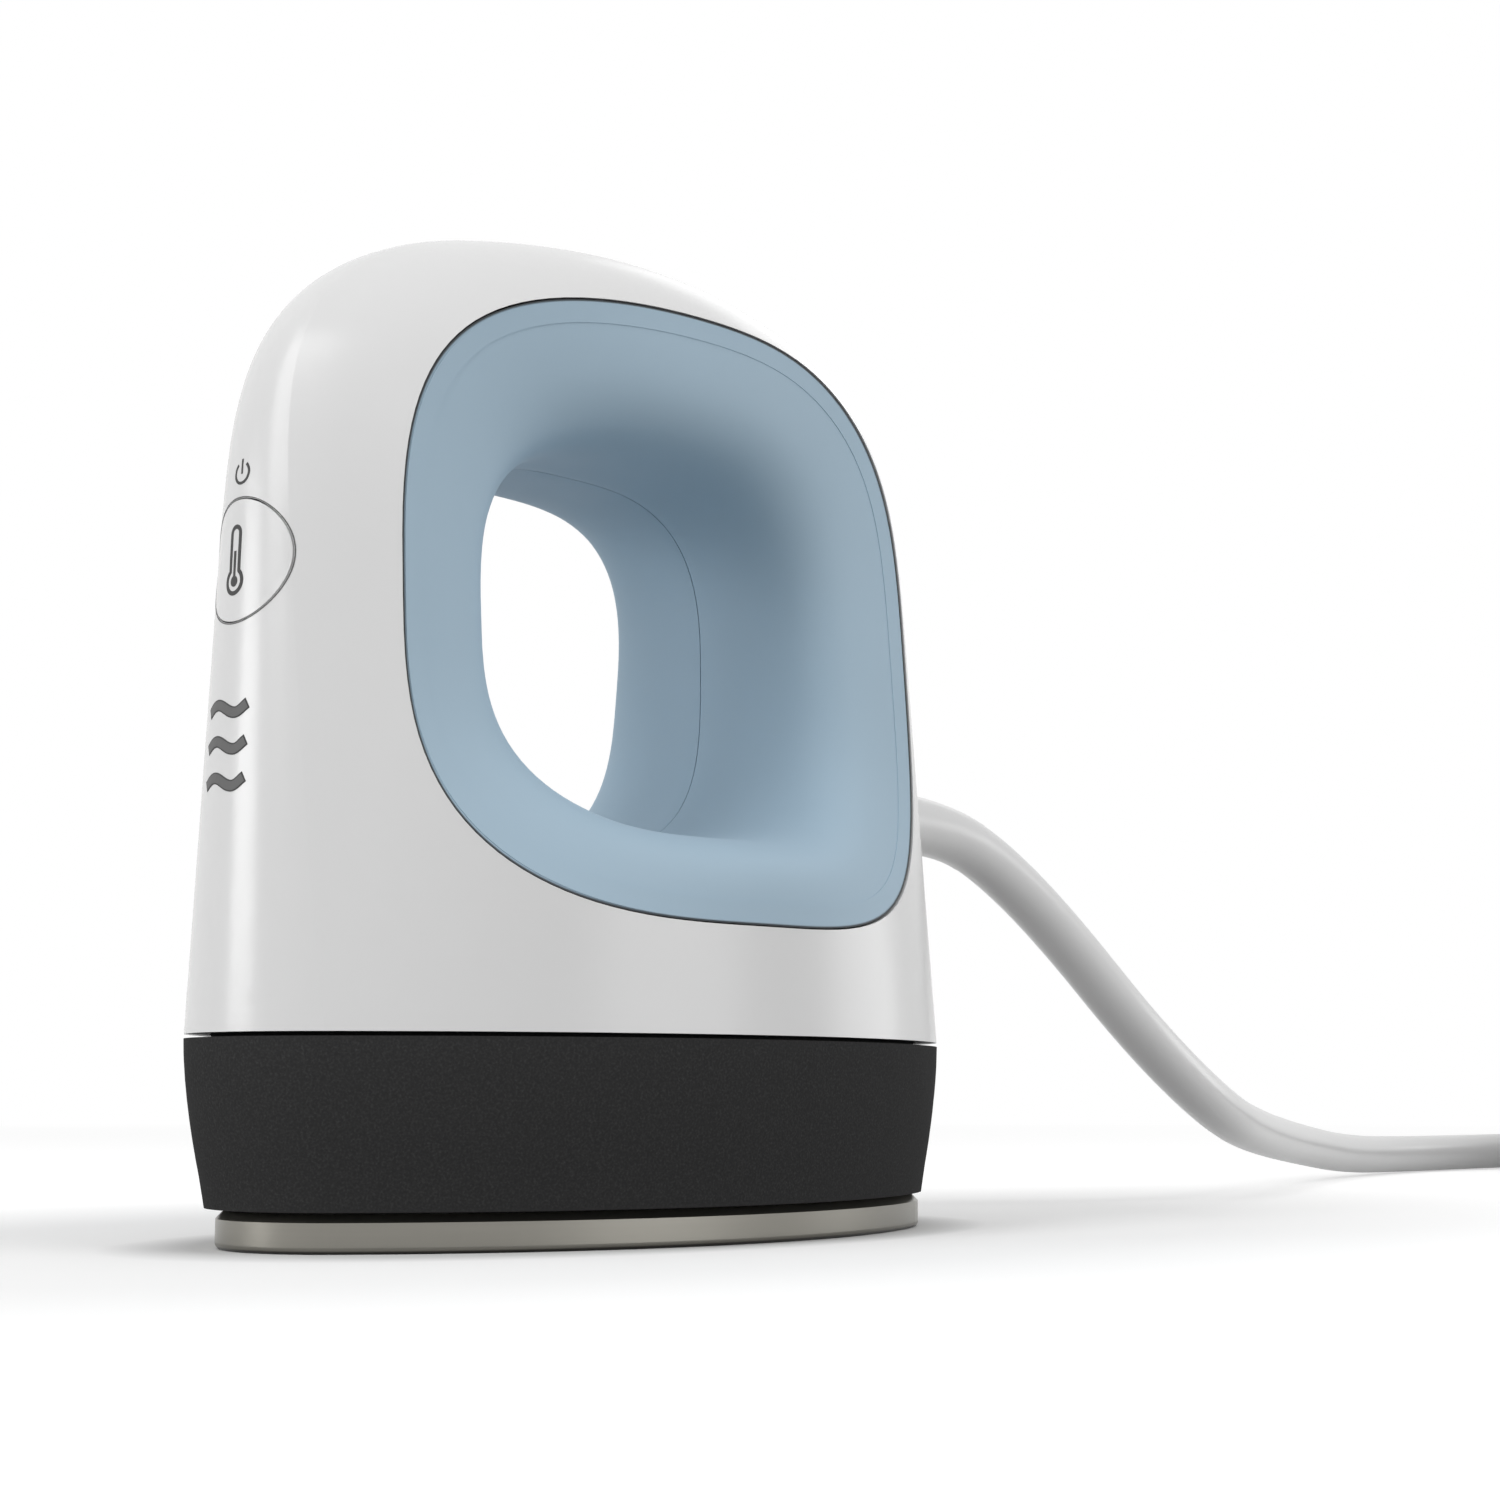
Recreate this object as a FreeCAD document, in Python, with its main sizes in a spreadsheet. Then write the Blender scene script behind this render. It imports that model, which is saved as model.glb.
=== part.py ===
import FreeCAD, Part
import math
import os
import Sketcher
from FreeCAD import Placement, Rotation, Vector

# Mini handheld heat press, in millimetres.
# The origin is the centre of the heat plate's sole. +Z is up, and the button side faces -Y.
# Every driving size stands in the sheet below; all other places are worked out from it.

SIZES = {
    # Outer form: an oval plan that leans in as it rises and closes in a crown.
    "seam_height": 18.7,
    "seam_gap": 0.4,
    "body_height": 99.9,
    "front_reach": 44.58,
    "rear_reach": 43.28,
    "body_width": 55.7,
    "front_lean": 0.023,
    "rear_lean": 0.094,
    "side_lean": 0.0327,
    "nose_radius": 14.7,
    "nose_taper": 0.12,
    "tail_radius": 22.0,
    "crown_axis_y": -0.7,
    "crown_depth_side": 39.9,
    "crown_depth_front": 44.9,
    "crown_rise": 3.95,
    "crown_fall_side": 1.85,
    "crown_fall_front": 1.47,
    "shell_wall": 2.2,
    # Hand hole: a rim on each flank that flares in to a smaller opening at the middle plane.
    "rim_front_margin": 9.53,
    "rim_rear_margin": 13.73,
    "rim_top_margin": 10.6,
    "rim_bottom_margin": 10.4,
    "rim_squareness": 3.22,
    "flare_front": 13.0,
    "flare_rear": 13.0,
    "flare_top": 12.9,
    "flare_bottom": 9.5,
    "hole_squareness": 2.97,
    "flare_squareness": 4.17,
    "grip_wall": 2.6,
    "grip_reveal": 0.15,
    "grip_recess": 0.25,
    "parting_gap": 0.12,
    "grip_lip_reach": 1.8,
    "grip_lip_front_reach": 0.3,
    "grip_lip_depth": 1.25,
    # Skirt below the seam.
    "skirt_bottom": 4.2,
    "skirt_wall": 2.6,
    "skirt_draw_front": 2.3,
    "skirt_draw_rear": 1.7,
    "skirt_draw_side": 2.0,
    "skirt_curve": 1.6,
    "skirt_flange": 2.0,
    "skirt_flange_inset": 4.5,
    "tongue_wall": 1.2,
    "tongue_rise": 2.3,
    # Heat plate: it stands inside the skirt's bottom edge.
    "plate_front_inset": 0.98,
    "plate_rear_inset": 0.28,
    "plate_side_inset": 1.45,
    "plate_nose_inset": 1.3,
    "plate_tail_inset": 0.5,
    "plate_thickness": 3.4,
    "plate_edge_round": 0.6,
    "plate_edge_bevel": 0.7,
    "boss_radius": 2.8,
    "stack_screw_gap": 1.38,
    "stack_screw_front": 10.0,
    "stack_screw_rear": 16.0,
    # Heater stack on the plate.
    "gasket_inset": 1.3,
    "gasket_wall": 1.7,
    "gasket_rise": 0.8,
    "element_radius": 2.1,
    "element_leg_x": 6.0,
    "element_bend_y": 22.0,
    "element_end_y": 17.0,
    "clamp_inset": 7.4,
    "clamp_thickness": 1.2,
    "pad_inset": 8.0,
    "pad_thickness": 4.0,
    "shield_inset": 6.6,
    "shield_thickness": 0.6,
    "shield_rim": 2.4,
    "bush_height": 6.5,
    "bush_radius": 2.5,
    "window_width": 17.2,
    "window_front": 18.5,
    "window_rear": 22.5,
    "sensor_radius": 2.0,
    "sensor_height": 3.6,
    "sensor_y": -6.0,
    "fuse_radius": 1.8,
    "fuse_length": 11.0,
    "fuse_y": 3.0,
    # Inner frame.
    "frame_wall": 1.6,
    "deck_thickness": 2.0,
    "spine_wall": 1.6,
    "spine_width": 13.0,
    "spine_foot_width": 19.0,
    "spine_foot_height": 15.5,
    "spine_height": 56.0,
    "spine_window_margin": 3.0,
    "spine_window_drop": 2.0,
    "post_width": 14.0,
    "post_depth": 6.0,
    "post_slot_drop": 9.6,
    "shell_screw_gap": 1.2,
    "shell_screw_front": 20.0,
    "shell_screw_rear": 22.5,
    "shell_boss_height": 9.0,
    "shell_boss_floor": 1.0,
    "rib_thickness": 1.6,
    # Screws.
    "screw_radius": 1.5,
    "screw_head_radius": 2.7,
    "screw_head_height": 1.8,
    "small_screw_radius": 0.8,
    "small_head_radius": 1.6,
    "small_head_height": 1.2,
    # Control board in the front column.
    "board_front": 32.6,
    "board_thickness": 1.6,
    "board_width": 14.0,
    "board_bottom": 22.0,
    "board_height": 52.0,
    "board_spine_gap": 2.8,
    "board_screw_x": 4.9,
    "board_screw_rest": 0.4,
    "board_post_radius": 1.76,
    "board_screw_low": 35.5,
    "board_screw_high": 71.0,
    "triac_width": 8.0,
    "triac_depth": 2.4,
    "triac_height": 9.0,
    "triac_clearance": 1.9,
    "chip_side": 7.0,
    "chip_depth": 1.2,
    "capacitor_side": 7.0,
    "capacitor_depth": 2.5,
    "component_gap": 2.3,
    "terminal_width": 13.0,
    "terminal_depth": 7.0,
    "terminal_height": 6.0,
    "terminal_rise": 0.4,
    "terminal_upper_row": 4.5,
    "terminal_lower_row": 1.6,
    # Round button, cut off flush with the front of the form.
    "button_centre_z": 61.3,
    "button_radius": 5.6,
    "button_gap": 0.15,
    "button_depth": 3.3,
    "button_travel": 0.6,
    "button_ear_gap": 0.3,
    "button_ear_reach": 1.1,
    "button_ear_width": 4.4,
    "stem_radius": 2.3,
    "retainer_front": 36.9,
    "retainer_thickness": 1.2,
    "retainer_height": 17.0,
    "switch_side": 6.0,
    "switch_depth": 2.5,
    "switch_lid": 0.6,
    "switch_floor": 0.1,
    "switch_wall": 0.4,
    "plunger_head_depth": 0.3,
    "plunger_head_gap": 0.3,
    "dome_gap": 0.15,
    "plunger_radius": 1.6,
    "plunger_stand": 0.4,
    "contact_gap": 0.05,
    "dome_thickness": 0.12,
    # Indicator lights behind the front wall.
    "light_centre_z": 44.2,
    "light_spacing": 3.2,
    "led_width": 3.0,
    "led_depth": 0.8,
    "led_height": 1.4,
    "guide_width": 7.8,
    "guide_height": 10.6,
    "guide_channel_width": 6.2,
    "guide_channel_height": 2.3,
    # Mains lead.
    "cord_diameter": 6.3,
    "cord_height": 45.1,
    "relief_end": 49.0,
    "relief_collar_wall": 1.2,
    "relief_step": 0.5,
    "relief_groove_depth": 0.5,
    "relief_root_radius": 4.6,
    "relief_tip_radius": 3.5,
    "relief_neck_radius": 4.4,
    "relief_flange_radius": 6.2,
    "relief_flange_y": 36.4,
    "relief_start": 34.0,
    "tail_start": 27.0,
    "saddle_width": 4.0,
    "saddle_wall": 1.2,
    "clamp_screw_grip": 6.0,
    "lead_radius": 0.9,
    "lead_bend": 2.16,
    "lead_drop_y": 21.2,
    "running_gap": 0.1,
    # Coil, tie and plug.
    "coil_mean_radius": 37.0,
    "coil_turns": 6.45,
    "tie_thickness": 0.6,
    "tie_width": 6.0,
    "plug_width": 25.0,
    "plug_length": 30.0,
    "plug_lead_length": 28.0,
    "plug_relief_length": 20.0,
    "blade_width": 6.3,
    "blade_thickness": 1.5,
    "blade_length": 16.0,
    "blade_spacing": 12.7,
    "earth_pin_radius": 2.4,
    "earth_pin_length": 18.6,
    "earth_pin_drop": 11.9,
    "blade_offset": 4.0,
    "blade_root": 4.0,
}

# Route of the mains lead from the strain relief to the coil, chosen by hand.
CORD_ROUTE = [
    (0.0, 49.0, 45.1),
    (0.0, 57.0, 45.1),
    (-0.8, 67.8, 42.4),
    (-0.2, 80.6, 34.8),
    (3.6, 94.6, 20.8),
    (2.2, 113.5, 11.6),
    (-7.2, 138.0, 8.5),
    (-20.6, 172.0, 6.2),
    (-31.6, 207.0, 3.7),
    (-36.8, 238.0, 3.2),
    (-34.6, 270.0, 3.3),
    (-24.8, 300.2, 3.85),
]

doc = FreeCAD.newDocument("mini_heat_press")
sheet = doc.addObject("Spreadsheet::Sheet", "sizes")
for row, (alias, value) in enumerate(SIZES.items(), start=1):
    sheet.set(f"A{row}", alias)
    sheet.set(f"B{row}", str(value))
    sheet.setAlias(f"B{row}", alias)
doc.recompute()

NODES = []


def size(alias):
    """Value of one driving size, read from the sheet."""
    return float(getattr(sheet, alias))


def node(thing, label):
    """Registers a document object as a sub-part of that name."""
    thing.Label = label
    NODES.append(thing)
    return thing


def shaped(label, shape, place=Placement()):
    """Sub-part whose solid is worked out below rather than by a feature tree."""
    feature = doc.addObject("Part::Feature", label)
    feature.Shape = shape
    feature.Placement = place
    return node(feature, label)


# ---------------------------------------------------------------- outlines


class Oval:
    """Plan outline of four tangent arcs: nose at -Y, tail at +Y, and two long flanks."""

    def __init__(self, front, rear, half_width, nose, tail, centre_y=0.0):
        self.half_width = half_width
        self.half_length = (front + rear) / 2
        self.middle = centre_y + (rear - front) / 2
        self.nose = min(nose, 0.95 * half_width, 0.8 * self.half_length)
        self.tail = min(tail, 0.96 * half_width, 0.8 * self.half_length)
        self.nose_y = self.middle - (self.half_length - self.nose)
        self.tail_y = self.middle + (self.half_length - self.tail)
        span = self.tail_y - self.nose_y
        difference = self.tail - self.nose
        slope = difference / span
        offset = -(difference * (self.nose + self.tail) / span + difference) / 2
        near = self.half_length - self.nose + offset
        quadratic = slope * slope
        linear = 2 * slope * near - 2 * half_width + 2 * self.nose
        constant = near * near + half_width * half_width - self.nose * self.nose
        if abs(quadratic) < 1e-9:
            self.flank = -constant / linear
        else:
            root = math.sqrt(linear * linear - 4 * quadratic * constant)
            self.flank = (-linear - root) / (2 * quadratic)
        self.flank_y = self.middle + slope * self.flank + offset
        self.flank_x = half_width - self.flank
        self.nose_joint = self.joint(self.nose_y)
        self.tail_joint = self.joint(self.tail_y)

    def joint(self, end_y):
        """Point on the +X side where a flank arc meets an end arc."""
        away = Vector(-self.flank_x, end_y - self.flank_y, 0)
        away.normalize()
        return Vector(self.flank_x, self.flank_y, 0) + away * self.flank

    def half_width_at(self, y):
        """Distance from the middle plane to the outline at that y."""
        if y < self.nose_joint.y:
            return math.sqrt(max(self.nose**2 - (y - self.nose_y) ** 2, 0.01))
        if y > self.tail_joint.y:
            return math.sqrt(max(self.tail**2 - (y - self.tail_y) ** 2, 0.01))
        return self.flank_x + math.sqrt(self.flank**2 - (y - self.flank_y) ** 2)

    def arcs(self, height=0.0):
        """The four arcs at that height, as Part geometry in running order."""
        lift = Vector(0, 0, height)
        right_nose = self.nose_joint + lift
        right_tail = self.tail_joint + lift
        left_nose = Vector(-right_nose.x, right_nose.y, height)
        left_tail = Vector(-right_tail.x, right_tail.y, height)
        front = Vector(0, self.middle - self.half_length, height)
        rear = Vector(0, self.middle + self.half_length, height)
        right = Vector(self.half_width, self.flank_y, height)
        left = Vector(-self.half_width, self.flank_y, height)
        return [
            Part.Arc(left_nose, front, right_nose),
            Part.Arc(right_nose, right, right_tail),
            Part.Arc(right_tail, rear, left_tail),
            Part.Arc(left_tail, left, left_nose),
        ]

    def wire(self, height):
        """Closed wire of the outline at that height."""
        return Part.Wire([arc.toShape() for arc in self.arcs(height)])

    def prism(self, low, high):
        """Straight solid of the outline between two heights."""
        return Part.Face(self.wire(low)).extrude(Vector(0, 0, high - low))


def crown(height, start, top, fall):
    """Share of its full reach that the form keeps at a height inside the crown."""
    rise = min(max((height - start) / (top - start), 0.0), 1.0)
    return (1 - rise ** size("crown_rise")) ** (1 / fall)


def form_oval(height, inset=0.0):
    """Section of the outer form, moved inwards by the inset."""
    top = size("body_height") - inset
    above_seam = height - size("seam_height")
    side_start = size("body_height") - size("crown_depth_side")
    front_start = size("body_height") - size("crown_depth_front")
    side = crown(height, side_start, top, size("crown_fall_side"))
    front = crown(height, front_start, top, size("crown_fall_front"))
    axis_y = size("crown_axis_y")
    full_half = size("body_width") / 2 - inset
    front_reach = size("front_reach") + axis_y - inset - size("front_lean") * above_seam
    rear_reach = size("rear_reach") - axis_y - inset - size("rear_lean") * above_seam
    half = (full_half - size("side_lean") * above_seam) * front
    shrink = half / full_half
    nose = (size("nose_radius") - size("nose_taper") * above_seam - inset) * shrink
    tail = (size("tail_radius") - inset) * shrink
    return Oval(front_reach * side, rear_reach * side, half, nose, tail, axis_y)


def body_form(inset, bottom):
    """Closed solid of the outer form from a height up to its crown, moved inwards by the inset."""
    top = size("body_height") - inset
    start = size("body_height") - size("crown_depth_front")
    straight_count = 4
    crown_count = 13
    last_angle = math.radians(87)
    heights = [bottom + (start - bottom) * i / straight_count for i in range(straight_count)]
    for i in range(crown_count + 1):
        heights.append(start + (top - start) * math.sin(last_angle * i / crown_count))
    return Part.makeLoft([form_oval(z, inset).wire(z) for z in heights], True, False)


def skirt_oval(height, inset=0.0):
    """Section of the skirt: full at the seam and drawn in towards its bottom edge."""
    full = size("seam_height") - size("skirt_bottom")
    share = min(max((size("seam_height") - height) / full, 0.0), 1.0) ** size("skirt_curve")
    return Oval(
        size("front_reach") - size("skirt_draw_front") * share - inset,
        size("rear_reach") - size("skirt_draw_rear") * share - inset,
        size("body_width") / 2 - size("skirt_draw_side") * share - inset,
        size("nose_radius") - size("skirt_draw_side") * share - inset,
        size("tail_radius") - size("skirt_draw_side") * share - inset,
    )


def plate_oval(inset=0.0):
    """Outline of the heat plate inside the skirt's bottom edge, moved inwards by the inset."""
    return Oval(
        size("front_reach") - size("skirt_draw_front") - size("plate_front_inset") - inset,
        size("rear_reach") - size("skirt_draw_rear") - size("plate_rear_inset") - inset,
        size("body_width") / 2 - size("skirt_draw_side") - size("plate_side_inset") - inset,
        size("nose_radius") - size("skirt_draw_side") - size("plate_nose_inset") - inset,
        size("tail_radius") - size("skirt_draw_side") - size("plate_tail_inset") - inset,
    )


class Ring:
    """Squarish closed outline round the hand hole, between a front, rear, bottom and top."""

    def __init__(self, front, rear, bottom, top, squareness):
        self.half_length = (rear - front) / 2
        self.half_height = (top - bottom) / 2
        self.centre_y = (front + rear) / 2
        self.centre_z = (bottom + top) / 2
        self.squareness = squareness

    def point(self, angle, grow=0.0):
        """Point (y, z) of the outline at that angle, moved outwards by grow."""
        along = abs(math.cos(angle)) / (self.half_length + grow)
        up = abs(math.sin(angle)) / (self.half_height + grow)
        radius = (along**self.squareness + up**self.squareness) ** (-1 / self.squareness)
        return self.centre_y + radius * math.cos(angle), self.centre_z + radius * math.sin(angle)


RIM_FRONT = size("rim_front_margin") - size("front_reach")
RIM_REAR = size("rear_reach") - size("rim_rear_margin")
RIM_BOTTOM = size("seam_height") + size("rim_bottom_margin")
RIM_TOP = size("body_height") - size("rim_top_margin")
RIM = Ring(RIM_FRONT, RIM_REAR, RIM_BOTTOM, RIM_TOP, size("rim_squareness"))
HOLE = Ring(
    RIM_FRONT + size("flare_front"),
    RIM_REAR - size("flare_rear"),
    RIM_BOTTOM + size("flare_bottom"),
    RIM_TOP - size("flare_top"),
    size("hole_squareness"),
)
RING_POINTS = 40
RING_STEPS = [i / RING_POINTS for i in range(RING_POINTS + 1)]


def ring_wire(place):
    """Smooth closed wire through the points that place gives for the angles round the hole."""
    points = [place(2 * math.pi * step) for step in RING_STEPS[:-1]]
    curve = Part.BSplineCurve()
    curve.interpolate(Points=points, PeriodicFlag=True, Parameters=RING_STEPS)
    return Part.Wire(curve.toShape())


def rim_prism(grow, low_x, high_x):
    """Straight solid across the body with the rim's outline."""
    outline = ring_wire(lambda angle: Vector(low_x, *RIM.point(angle, grow)))
    return Part.Face(outline).extrude(Vector(high_x - low_x, 0, 0))


def closed_solid(faces):
    """Solid inside a set of faces that meet edge to edge."""
    shell = Part.makeShell(faces)
    shell.sewShape()
    solid = Part.makeSolid(shell)
    if solid.Volume < 0:
        solid.reverse()
    return solid


def flare_sections(hole_grow, rim_place):
    """Wires of one flared surface, from the opening at the middle plane out to the rim.

    rim_place gives the rim's point for an angle round the hole.
    """
    start_x = size("parting_gap") / 2
    square = size("flare_squareness")
    section_count = 10

    def section(step):
        turn = math.pi / 2 * step / section_count
        scale = (math.sin(turn) ** square + math.cos(turn) ** square) ** (-1 / square)
        outwards = math.sin(turn) * scale
        inwards = math.cos(turn) * scale

        def place(angle):
            rim = rim_place(angle)
            hole_y, hole_z = HOLE.point(angle, hole_grow)
            return Vector(
                start_x + (rim.x - start_x) * outwards,
                rim.y + (hole_y - rim.y) * inwards,
                rim.z + (hole_z - rim.z) * inwards,
            )

        return ring_wire(place)

    return [section(step) for step in range(section_count + 1)]


def on_form(angle, grow, inset, deeper=0.0):
    """Point of the rim outline on the form at that inset, sunk by a further depth."""
    y, z = RIM.point(angle, grow)
    return Vector(form_oval(z, inset).half_width_at(y) - deeper, y, z)


def lip_reach(angle):
    """How far the liner's lip reaches past the rim: least at the front, beside the board."""
    least = size("grip_lip_front_reach")
    return least + (size("grip_lip_reach") - least) * (1 + math.cos(angle)) / 2


def make_grip_half():
    """One half of the hand-hole liner: a flare with a lip behind the shell's wall."""
    reveal = -size("grip_reveal")
    under = size("shell_wall") + SEAT + size("contact_gap")
    depth = size("grip_lip_depth")
    front = flare_sections(0.0, lambda a: on_form(a, reveal, 0.0, size("grip_recess")))
    back = flare_sections(size("grip_wall"), lambda a: on_form(a, lip_reach(a), under, depth))
    band = ring_wire(lambda a: on_form(a, reveal, under))
    lip = ring_wire(lambda a: on_form(a, lip_reach(a), under))
    faces = Part.makeLoft(front, False, False).Faces + Part.makeLoft(back, False, False).Faces
    for first, second in ((front[-1], band), (band, lip), (lip, back[-1])):
        faces += Part.makeLoft([first, second], False, True).Faces
    faces.append(Part.makeFace([back[0], front[0]], "Part::FaceMakerBullseye"))
    return closed_solid(faces)


# ------------------------------------------------------- small shape helpers


def box(low, high):
    """Box between two corners."""
    spans = [high[i] - low[i] for i in range(3)]
    return Part.makeBox(*spans, Vector(*low))


def rod(start, end, radius):
    """Round bar between two points."""
    along = Vector(*end) - Vector(*start)
    return Part.makeCylinder(radius, along.Length, Vector(*start), along)


def round_path(points):
    """Straight runs joined by tangent arcs, each as large as its two runs allow."""
    corners = [Vector(*point) for point in points]
    edges = []
    radii = []
    start = corners[0]
    for i in range(1, len(corners) - 1):
        before = corners[i] - corners[i - 1]
        after = corners[i + 1] - corners[i]
        turn = before.getAngle(after)
        trim = 0.45 * min(before.Length, after.Length)
        radii.append(trim / math.tan(turn / 2))
        before.normalize()
        after.normalize()
        arc_start = corners[i] - before * trim
        arc_end = corners[i] + after * trim
        inward = after - before
        inward.normalize()
        reach = radii[-1] / math.cos(turn / 2) - radii[-1]
        edges.append(Part.LineSegment(start, arc_start).toShape())
        edges.append(Part.Arc(arc_start, corners[i] + inward * reach, arc_end).toShape())
        start = arc_end
    edges.append(Part.LineSegment(start, corners[-1]).toShape())
    return Part.Wire(edges), radii


def tube(points, radius):
    """Round tube along a path of straight runs and arcs."""
    path, radii = round_path(points)
    along = Vector(*points[1]) - Vector(*points[0])
    profile = Part.Wire(Part.makeCircle(radius, Vector(*points[0]), along))
    return path.makePipeShell([profile], True, True), path.Length, radii


def turned(profile, base, axis):
    """Solid of a closed profile wire turned once round an axis."""
    return Part.Face(profile).revolve(base, axis, 360)


def screw(seat, direction, length, radius, head_radius, head_height):
    """Pan-head screw whose head sits on seat and whose shank runs along direction."""
    along = Vector(*direction)
    shank = Part.makeCylinder(radius, length, Vector(*seat), along)
    head = Part.makeCylinder(head_radius, head_height, Vector(*seat), along * -1)
    crown_edges = [edge for edge in head.Edges if edge.Length > 1.5 * math.pi * head_radius]
    farthest = max(crown_edges, key=lambda edge: (edge.CenterOfMass - Vector(*seat)) * (along * -1))
    return head.makeFillet(0.4 * head_height, [farthest]).fuse(shank).removeSplitter()


# --------------------------------------------------- PartDesign body helper


class Body:
    """One PartDesign body with the sketches and features that this object needs."""

    def __init__(self, label):
        self.body = doc.addObject("PartDesign::Body", label)
        self.label = label
        self.count = 0

    def plane(self, role):
        """One of the body's own origin planes."""
        return next(item for item in self.body.Origin.OriginFeatures if item.Role == role)

    def sketch(self, geometry, height="0 mm", role="XY_Plane"):
        """Sketch on an origin plane, lifted off it by a height that may be an expression."""
        self.count += 1
        sketch = self.body.newObject("Sketcher::SketchObject", f"{self.label}_sketch{self.count}")
        sketch.AttachmentSupport = (self.plane(role), [""])
        sketch.MapMode = "FlatFace"
        sketch.setExpression("AttachmentOffset.Base.z", height)
        sketch.addGeometry(geometry, False)
        return sketch

    def circles(self, centres, radius, height="0 mm"):
        """Sketch of equal circles whose radius follows the sheet."""
        geometry = [Part.Circle(Vector(x, y, 0), Vector(0, 0, 1), 1.0) for x, y in centres]
        sketch = self.sketch(geometry, height)
        for i in range(len(geometry)):
            sketch.addConstraint(Sketcher.Constraint("Radius", i, 1.0))
            sketch.setExpression(f"Constraints[{i}]", radius)
        return sketch

    def add(self, kind, sketch, length, reverse=False):
        """Pad or pocket of a sketch with a length that follows the sheet."""
        self.count += 1
        feature = self.body.newObject(f"PartDesign::{kind}", f"{self.label}_{kind.lower()}{self.count}")
        feature.Profile = sketch
        feature.setExpression("Length", length)
        feature.Reversed = reverse
        sketch.Visibility = False
        doc.recompute()
        return feature

    def dress(self, kind, height, value, feature):
        """Fillet or chamfer of the edges that lie at one height."""
        names = [
            f"Edge{i}"
            for i, edge in enumerate(feature.Shape.Edges, start=1)
            if all(abs(vertex.Z - height) < 1e-6 for vertex in edge.Vertexes)
        ]
        self.count += 1
        dressed = self.body.newObject(f"PartDesign::{kind}", f"{self.label}_{kind.lower()}{self.count}")
        dressed.Base = (feature, names)
        dressed.setExpression("Radius" if kind == "Fillet" else "Size", value)
        doc.recompute()
        return dressed

    def done(self):
        """Registers the body as a sub-part."""
        doc.recompute()
        return node(self.body, self.label)


def slab(label, outline, height, thickness, holes=(), hole_radius=None, window=None):
    """Flat plate with an oval outline, round holes and one rectangular window."""
    piece = Body(label)
    piece.add("Pad", piece.sketch(outline.arcs(), height), thickness)
    if holes:
        piece.add("Pocket", piece.circles(holes, hole_radius, height), f"{thickness} + 1", True)
    if window:
        piece.add("Pocket", piece.sketch(window, height), f"{thickness} + 1", True)
    return piece


def rectangle(low_x, low_y, high_x, high_y):
    """Four sides of a rectangle as sketch geometry."""
    corners = [
        Vector(low_x, low_y, 0),
        Vector(high_x, low_y, 0),
        Vector(high_x, high_y, 0),
        Vector(low_x, high_y, 0),
    ]
    return [Part.LineSegment(corners[i], corners[(i + 1) % 4]) for i in range(4)]


# ------------------------------------------------------------ derived places

SEAM = size("seam_height")
SHELL_BOTTOM = SEAM + size("seam_gap")
PLATE_TOP = size("plate_thickness")
FLANGE_TOP = size("skirt_bottom") + size("skirt_flange")
SEAT = size("running_gap")
ELEMENT_LEVEL = PLATE_TOP + SEAT + size("element_radius")
CLAMP_LEVEL = ELEMENT_LEVEL + size("element_radius") + SEAT
PAD_LEVEL = CLAMP_LEVEL + size("clamp_thickness")
SHIELD_LEVEL = PAD_LEVEL + size("pad_thickness")
DECK_LEVEL = PAD_LEVEL + size("bush_height")
DECK_TOP = DECK_LEVEL + size("deck_thickness")
FRAME_INSET = size("skirt_wall") + 2 * SEAT


def screw_places(outline, front, rear, clearance):
    """Centres of four screws that keep a clearance to an outline's flanks."""
    rows = (-front, rear)
    x = min(outline.half_width_at(y) for y in rows) - clearance
    return [(side * x, y) for side in (-1, 1) for y in rows]


STACK_SCREWS = screw_places(
    plate_oval(size("shield_inset") + size("shield_thickness")),
    size("stack_screw_front"),
    size("stack_screw_rear"),
    size("bush_radius") + size("stack_screw_gap"),
)
SHELL_SCREWS = screw_places(
    skirt_oval(size("skirt_bottom"), FRAME_INSET + size("frame_wall")),
    size("shell_screw_front"),
    size("shell_screw_rear"),
    size("screw_head_radius") + size("shell_screw_gap"),
)
BOARD_FRONT = -size("board_front")
BOARD_BACK = BOARD_FRONT + size("board_thickness")
SPINE_FRONT = BOARD_BACK + size("board_spine_gap")
SPINE_BACK = SPINE_FRONT + size("spine_wall")
BOARD_SCREWS = [
    (side * size("board_screw_x"), z)
    for side in (-1, 1)
    for z in (size("board_screw_low"), size("board_screw_high"))
]
SWITCH_FRONT = BOARD_FRONT - size("switch_depth")
PLUNGER_TIP = SWITCH_FRONT - size("button_travel") - size("plunger_stand")
BUTTON_Z = size("button_centre_z")
CORD_RADIUS = size("cord_diameter") / 2
CORD_Z = size("cord_height")
POST_TOP = CORD_Z - CORD_RADIUS - size("contact_gap")
POST_FRONT = size("tail_start") + size("contact_gap")
SCREW_HOLE = size("screw_radius") + size("contact_gap")
SMALL_HOLE = size("small_screw_radius") + size("contact_gap")

STACK_HOLE = "sizes.screw_radius + sizes.contact_gap"
ELEMENT_TEXT = "sizes.plate_thickness + 2 * sizes.running_gap + 2 * sizes.element_radius"
PAD_TEXT = f"{ELEMENT_TEXT} + sizes.clamp_thickness"
SHIELD_TEXT = f"{PAD_TEXT} + sizes.pad_thickness"
WINDOW = rectangle(
    -size("window_width") / 2,
    size("window_front"),
    size("window_width") / 2,
    size("window_rear"),
)

# ------------------------------------------------------- heat plate and stack


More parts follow.
